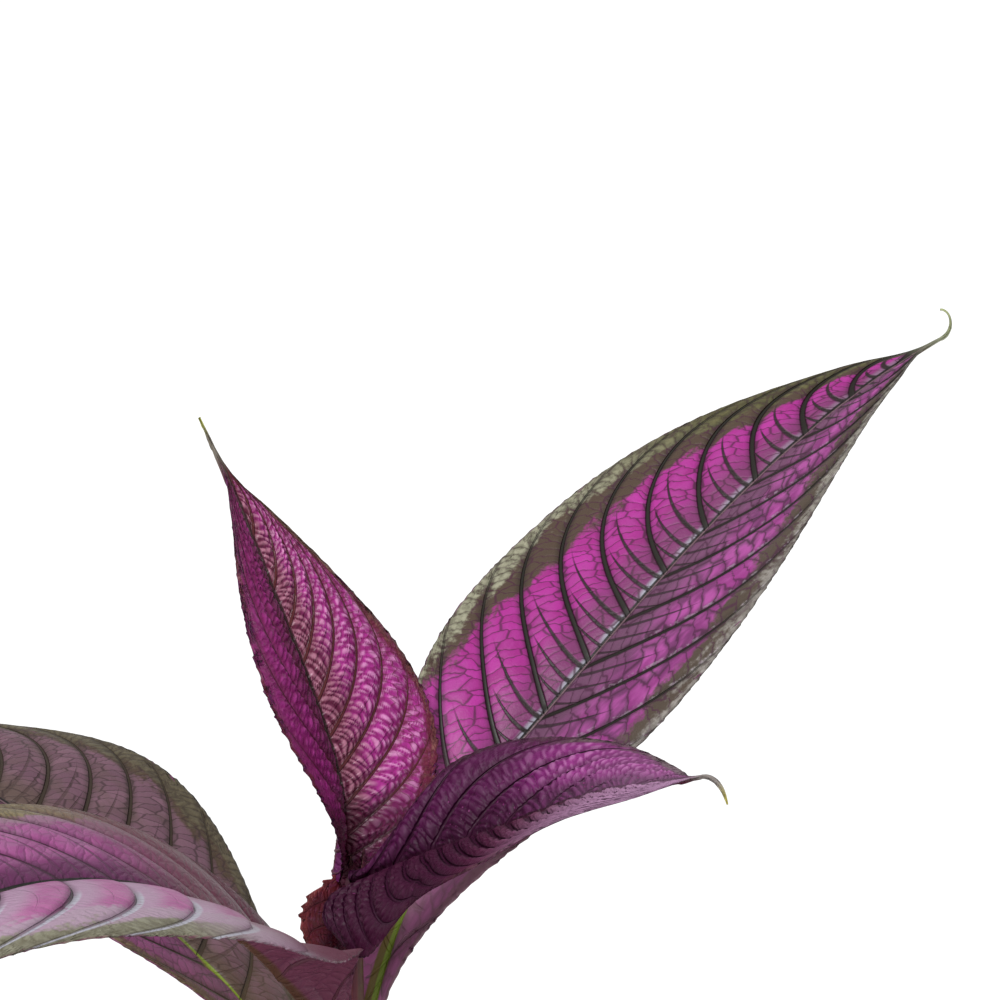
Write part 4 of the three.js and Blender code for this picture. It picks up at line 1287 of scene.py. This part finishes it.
def stem_radius(height):
    """Thickness of the stem: swollen below each pair of leaves, with a collar that bears them."""
    climb = min(max((height - SOIL_TOP) / (NODE_HEIGHTS["top"] - SOIL_TOP), 0), 1)
    radius = STEM_FOOT_RADIUS + (STEM_TOP_RADIUS - STEM_FOOT_RADIUS) * climb**1.2
    for node in NODE_HEIGHTS.values():
        radius += 0.2 * radius * math.exp(-(((height - node + 4) / 2.2) ** 2))
        radius += math.exp(-(((height - node) / 1.8) ** 2))
    return radius


def stem_cane():
    """Four-angled stem with its swollen nodes and the small leaves folded round its end bud."""
    top = NODE_HEIGHTS["top"]
    rings = round((top - STEM_FOOT) / STEM_RING_STEP)
    heights = [STEM_FOOT + (top - STEM_FOOT) * i / rings for i in range(rings + 1)]
    profile = [(stem_radius(height), height) for height in heights]
    profile += [(radius, top + share * BUD_HEIGHT) for radius, share in BUD_OUTLINE]
    cane = draw_up("stem_cane", STEM_SIDES, profile)
    for vertex in cane.data.vertices:
        angle = math.atan2(vertex.co.y, vertex.co.x)
        squared = 1 + STEM_SQUARENESS * math.cos(4 * angle)
        vertex.co.x *= squared
        vertex.co.y *= squared
    smooth(cane)
    cover(cane, stem_material())
    bud_skin = leaf_material("bud_skin", BUD_LEAF, BUD_LOOK)
    buds = []
    for base, bearing, size in BUD_LEAVES:
        leaf = dict(BUD_LEAF, base=base, bearing=[bearing] * 3, length=BUD_LEAF["length"] * size,
                    half_width=BUD_LEAF["half_width"] * size)
        buds.append(leaf_piece("bud_leaf", leaf))
        cover(buds[-1], bud_skin)
    joined(cane, buds)
    return cane


def stem_material():
    """Stem skin: green-brown at the foot, maroon above, streaked, with dark rings at the nodes."""
    material, w, shader = new_material("stem_skin", Specular_IOR_Level=0.35)
    x, _, height = w.parts(w.on_piece())
    grain = w.group(GRAIN, {"Mottle Scale": 420.0})
    streak = w.drawn_noise((1500, 1500, 45), 3.0)
    streaked = w.ramp(streak, 0.4, 0.62)
    green = w.mix(streaked, (96, 92, 50), (112, 84, 56))
    maroon = w.mix(streaked, (74, 30, 42), (96, 48, 54))
    skin = w.mix(w.ramp(height, STEM_GREEN_END * MM, STEM_MAROON_START * MM), green, maroon)
    # An olive tint over the stem's +X side, in patches, fading out above the start of the maroon
    olive_side = w.times(w.ramp(x, 0.2 * MM, 1.4 * MM), w.ramp(grain["Mottle"], 0.4, 0.6, 0.4, 0.9))
    fading = w.ramp(height, STEM_MAROON_START * MM, (STEM_MAROON_START + 8) * MM, 1.0, 0.0)
    skin = w.mix(w.times(olive_side, fading), skin, (92, 74, 44))
    for node in NODE_HEIGHTS.values():
        off_node = w.size(w.minus(height, node * MM))
        skin = w.mix(w.ramp(off_node, MM, 5 * MM, 0.85, 0.0), skin, (62, 20, 40))
    rough = w.times_plus(grain["Grain"], 0.2, 0.4)
    w.finish(shader, skin, rough, w.times_plus(grain["Grain"], 0.3, streak), 0.0002, 0.6)
    return material


# Every piece, made and put in the place of its solid

tub = pot_tub()
cover(tub, plastic_material())
dress(tub, "pot")

soil = soil_bed()
cover(soil, mix_material("potting_mix", (40, 28, 20), (62, 45, 32), 520.0, 0.0006, 0.75))
crumbs = [crumb_shape(seed, 1, 0.3) for seed in (1, 2, 3)]
grains = [crumb_shape(seed, 2, 0.18) for seed in (4, 5)]
chips = [chip_shape(seed) for seed in (6, 7, 8)]
crumb_skin = mix_material("peat_crumb", (34, 23, 16), (70, 50, 34), 900.0, 0.0004, 0.75)
grain_skin = mix_material("pale_grain", (176, 170, 158), (206, 202, 192), 900.0, 0.0003, 0.7)
chip_skin = mix_material("bark_chip", (58, 38, 24), (104, 74, 48), 700.0, 0.0004, 0.7)
draws = random.Random(11)
strewn = []
for shapes, skin, count, sizes in [
    (crumbs, crumb_skin, 560, (0.5, 2.2)), (grains, grain_skin, 80, (0.5, 1.5)),
    (chips, chip_skin, 110, (0.9, 3.6)),
]:
    for shape in shapes:
        cover(shape, skin)
    strewn += strew(soil, shapes, count, sizes, draws)
for shape in crumbs + grains + chips:
    bpy.data.objects.remove(shape)
joined(soil, strewn)
dress(soil, "soil")

cane = stem_cane()
dress(cane, "stem")

for leaf_name, leaf in LEAVES.items():
    blade = leaf_piece(f"{leaf_name}_blade", leaf)
    cover(blade, leaf_material(f"{leaf_name}_skin", leaf, LOOKS.get(leaf_name, LOWER_LOOK)))
    if leaf_name == "leaf_young_left":
        lobe = leaf_piece("leaf_young_left_lobe", LOBE)
        cover(lobe, leaf_material("lobe_skin", LOBE, LOBE_LOOK))
        joined(blade, [lobe])
    dress(blade, leaf_name)


# Floor, light and camera, in metres and degrees

FLOOR_SIZE = 30
SKY_STRENGTH = 0.55
SUN_PLACE = (-0.6, -0.8, 1.5)
SUN_TILT = 38
SUN_TURN = -30
SUN_STRENGTH = 2.6
SUN_SPREAD = 24
CAMERA_PLACE = (0.02664, -0.98481, 0.46165)
CAMERA_TILT = 80
CAMERA_LENS = 200
CAMERA_SENSOR = 36

bpy.ops.mesh.primitive_plane_add(size=FLOOR_SIZE)
floor = bpy.context.object
floor.name = "floor"
cover(floor, new_material("pale_floor", Roughness=0.9, Base_Color=(0.96, 0.96, 0.96, 1))[0])

world = bpy.data.worlds.new("studio")
world.use_nodes = True
sky = world.node_tree.nodes["Background"]
sky.inputs["Color"].default_value = (1, 1, 1, 1)
sky.inputs["Strength"].default_value = SKY_STRENGTH
bpy.context.scene.world = world
bpy.context.scene.view_settings.view_transform = "Standard"

sun_way = (math.radians(SUN_TILT), 0, math.radians(SUN_TURN))
bpy.ops.object.light_add(type="SUN", location=SUN_PLACE, rotation=sun_way)
sun = bpy.context.object
sun.data.energy = SUN_STRENGTH
sun.data.angle = math.radians(SUN_SPREAD)

bpy.ops.object.camera_add(location=CAMERA_PLACE, rotation=(math.radians(CAMERA_TILT), 0, 0))
camera = bpy.context.object
camera.data.lens = CAMERA_LENS
camera.data.sensor_width = CAMERA_SENSOR
bpy.context.scene.camera = camera
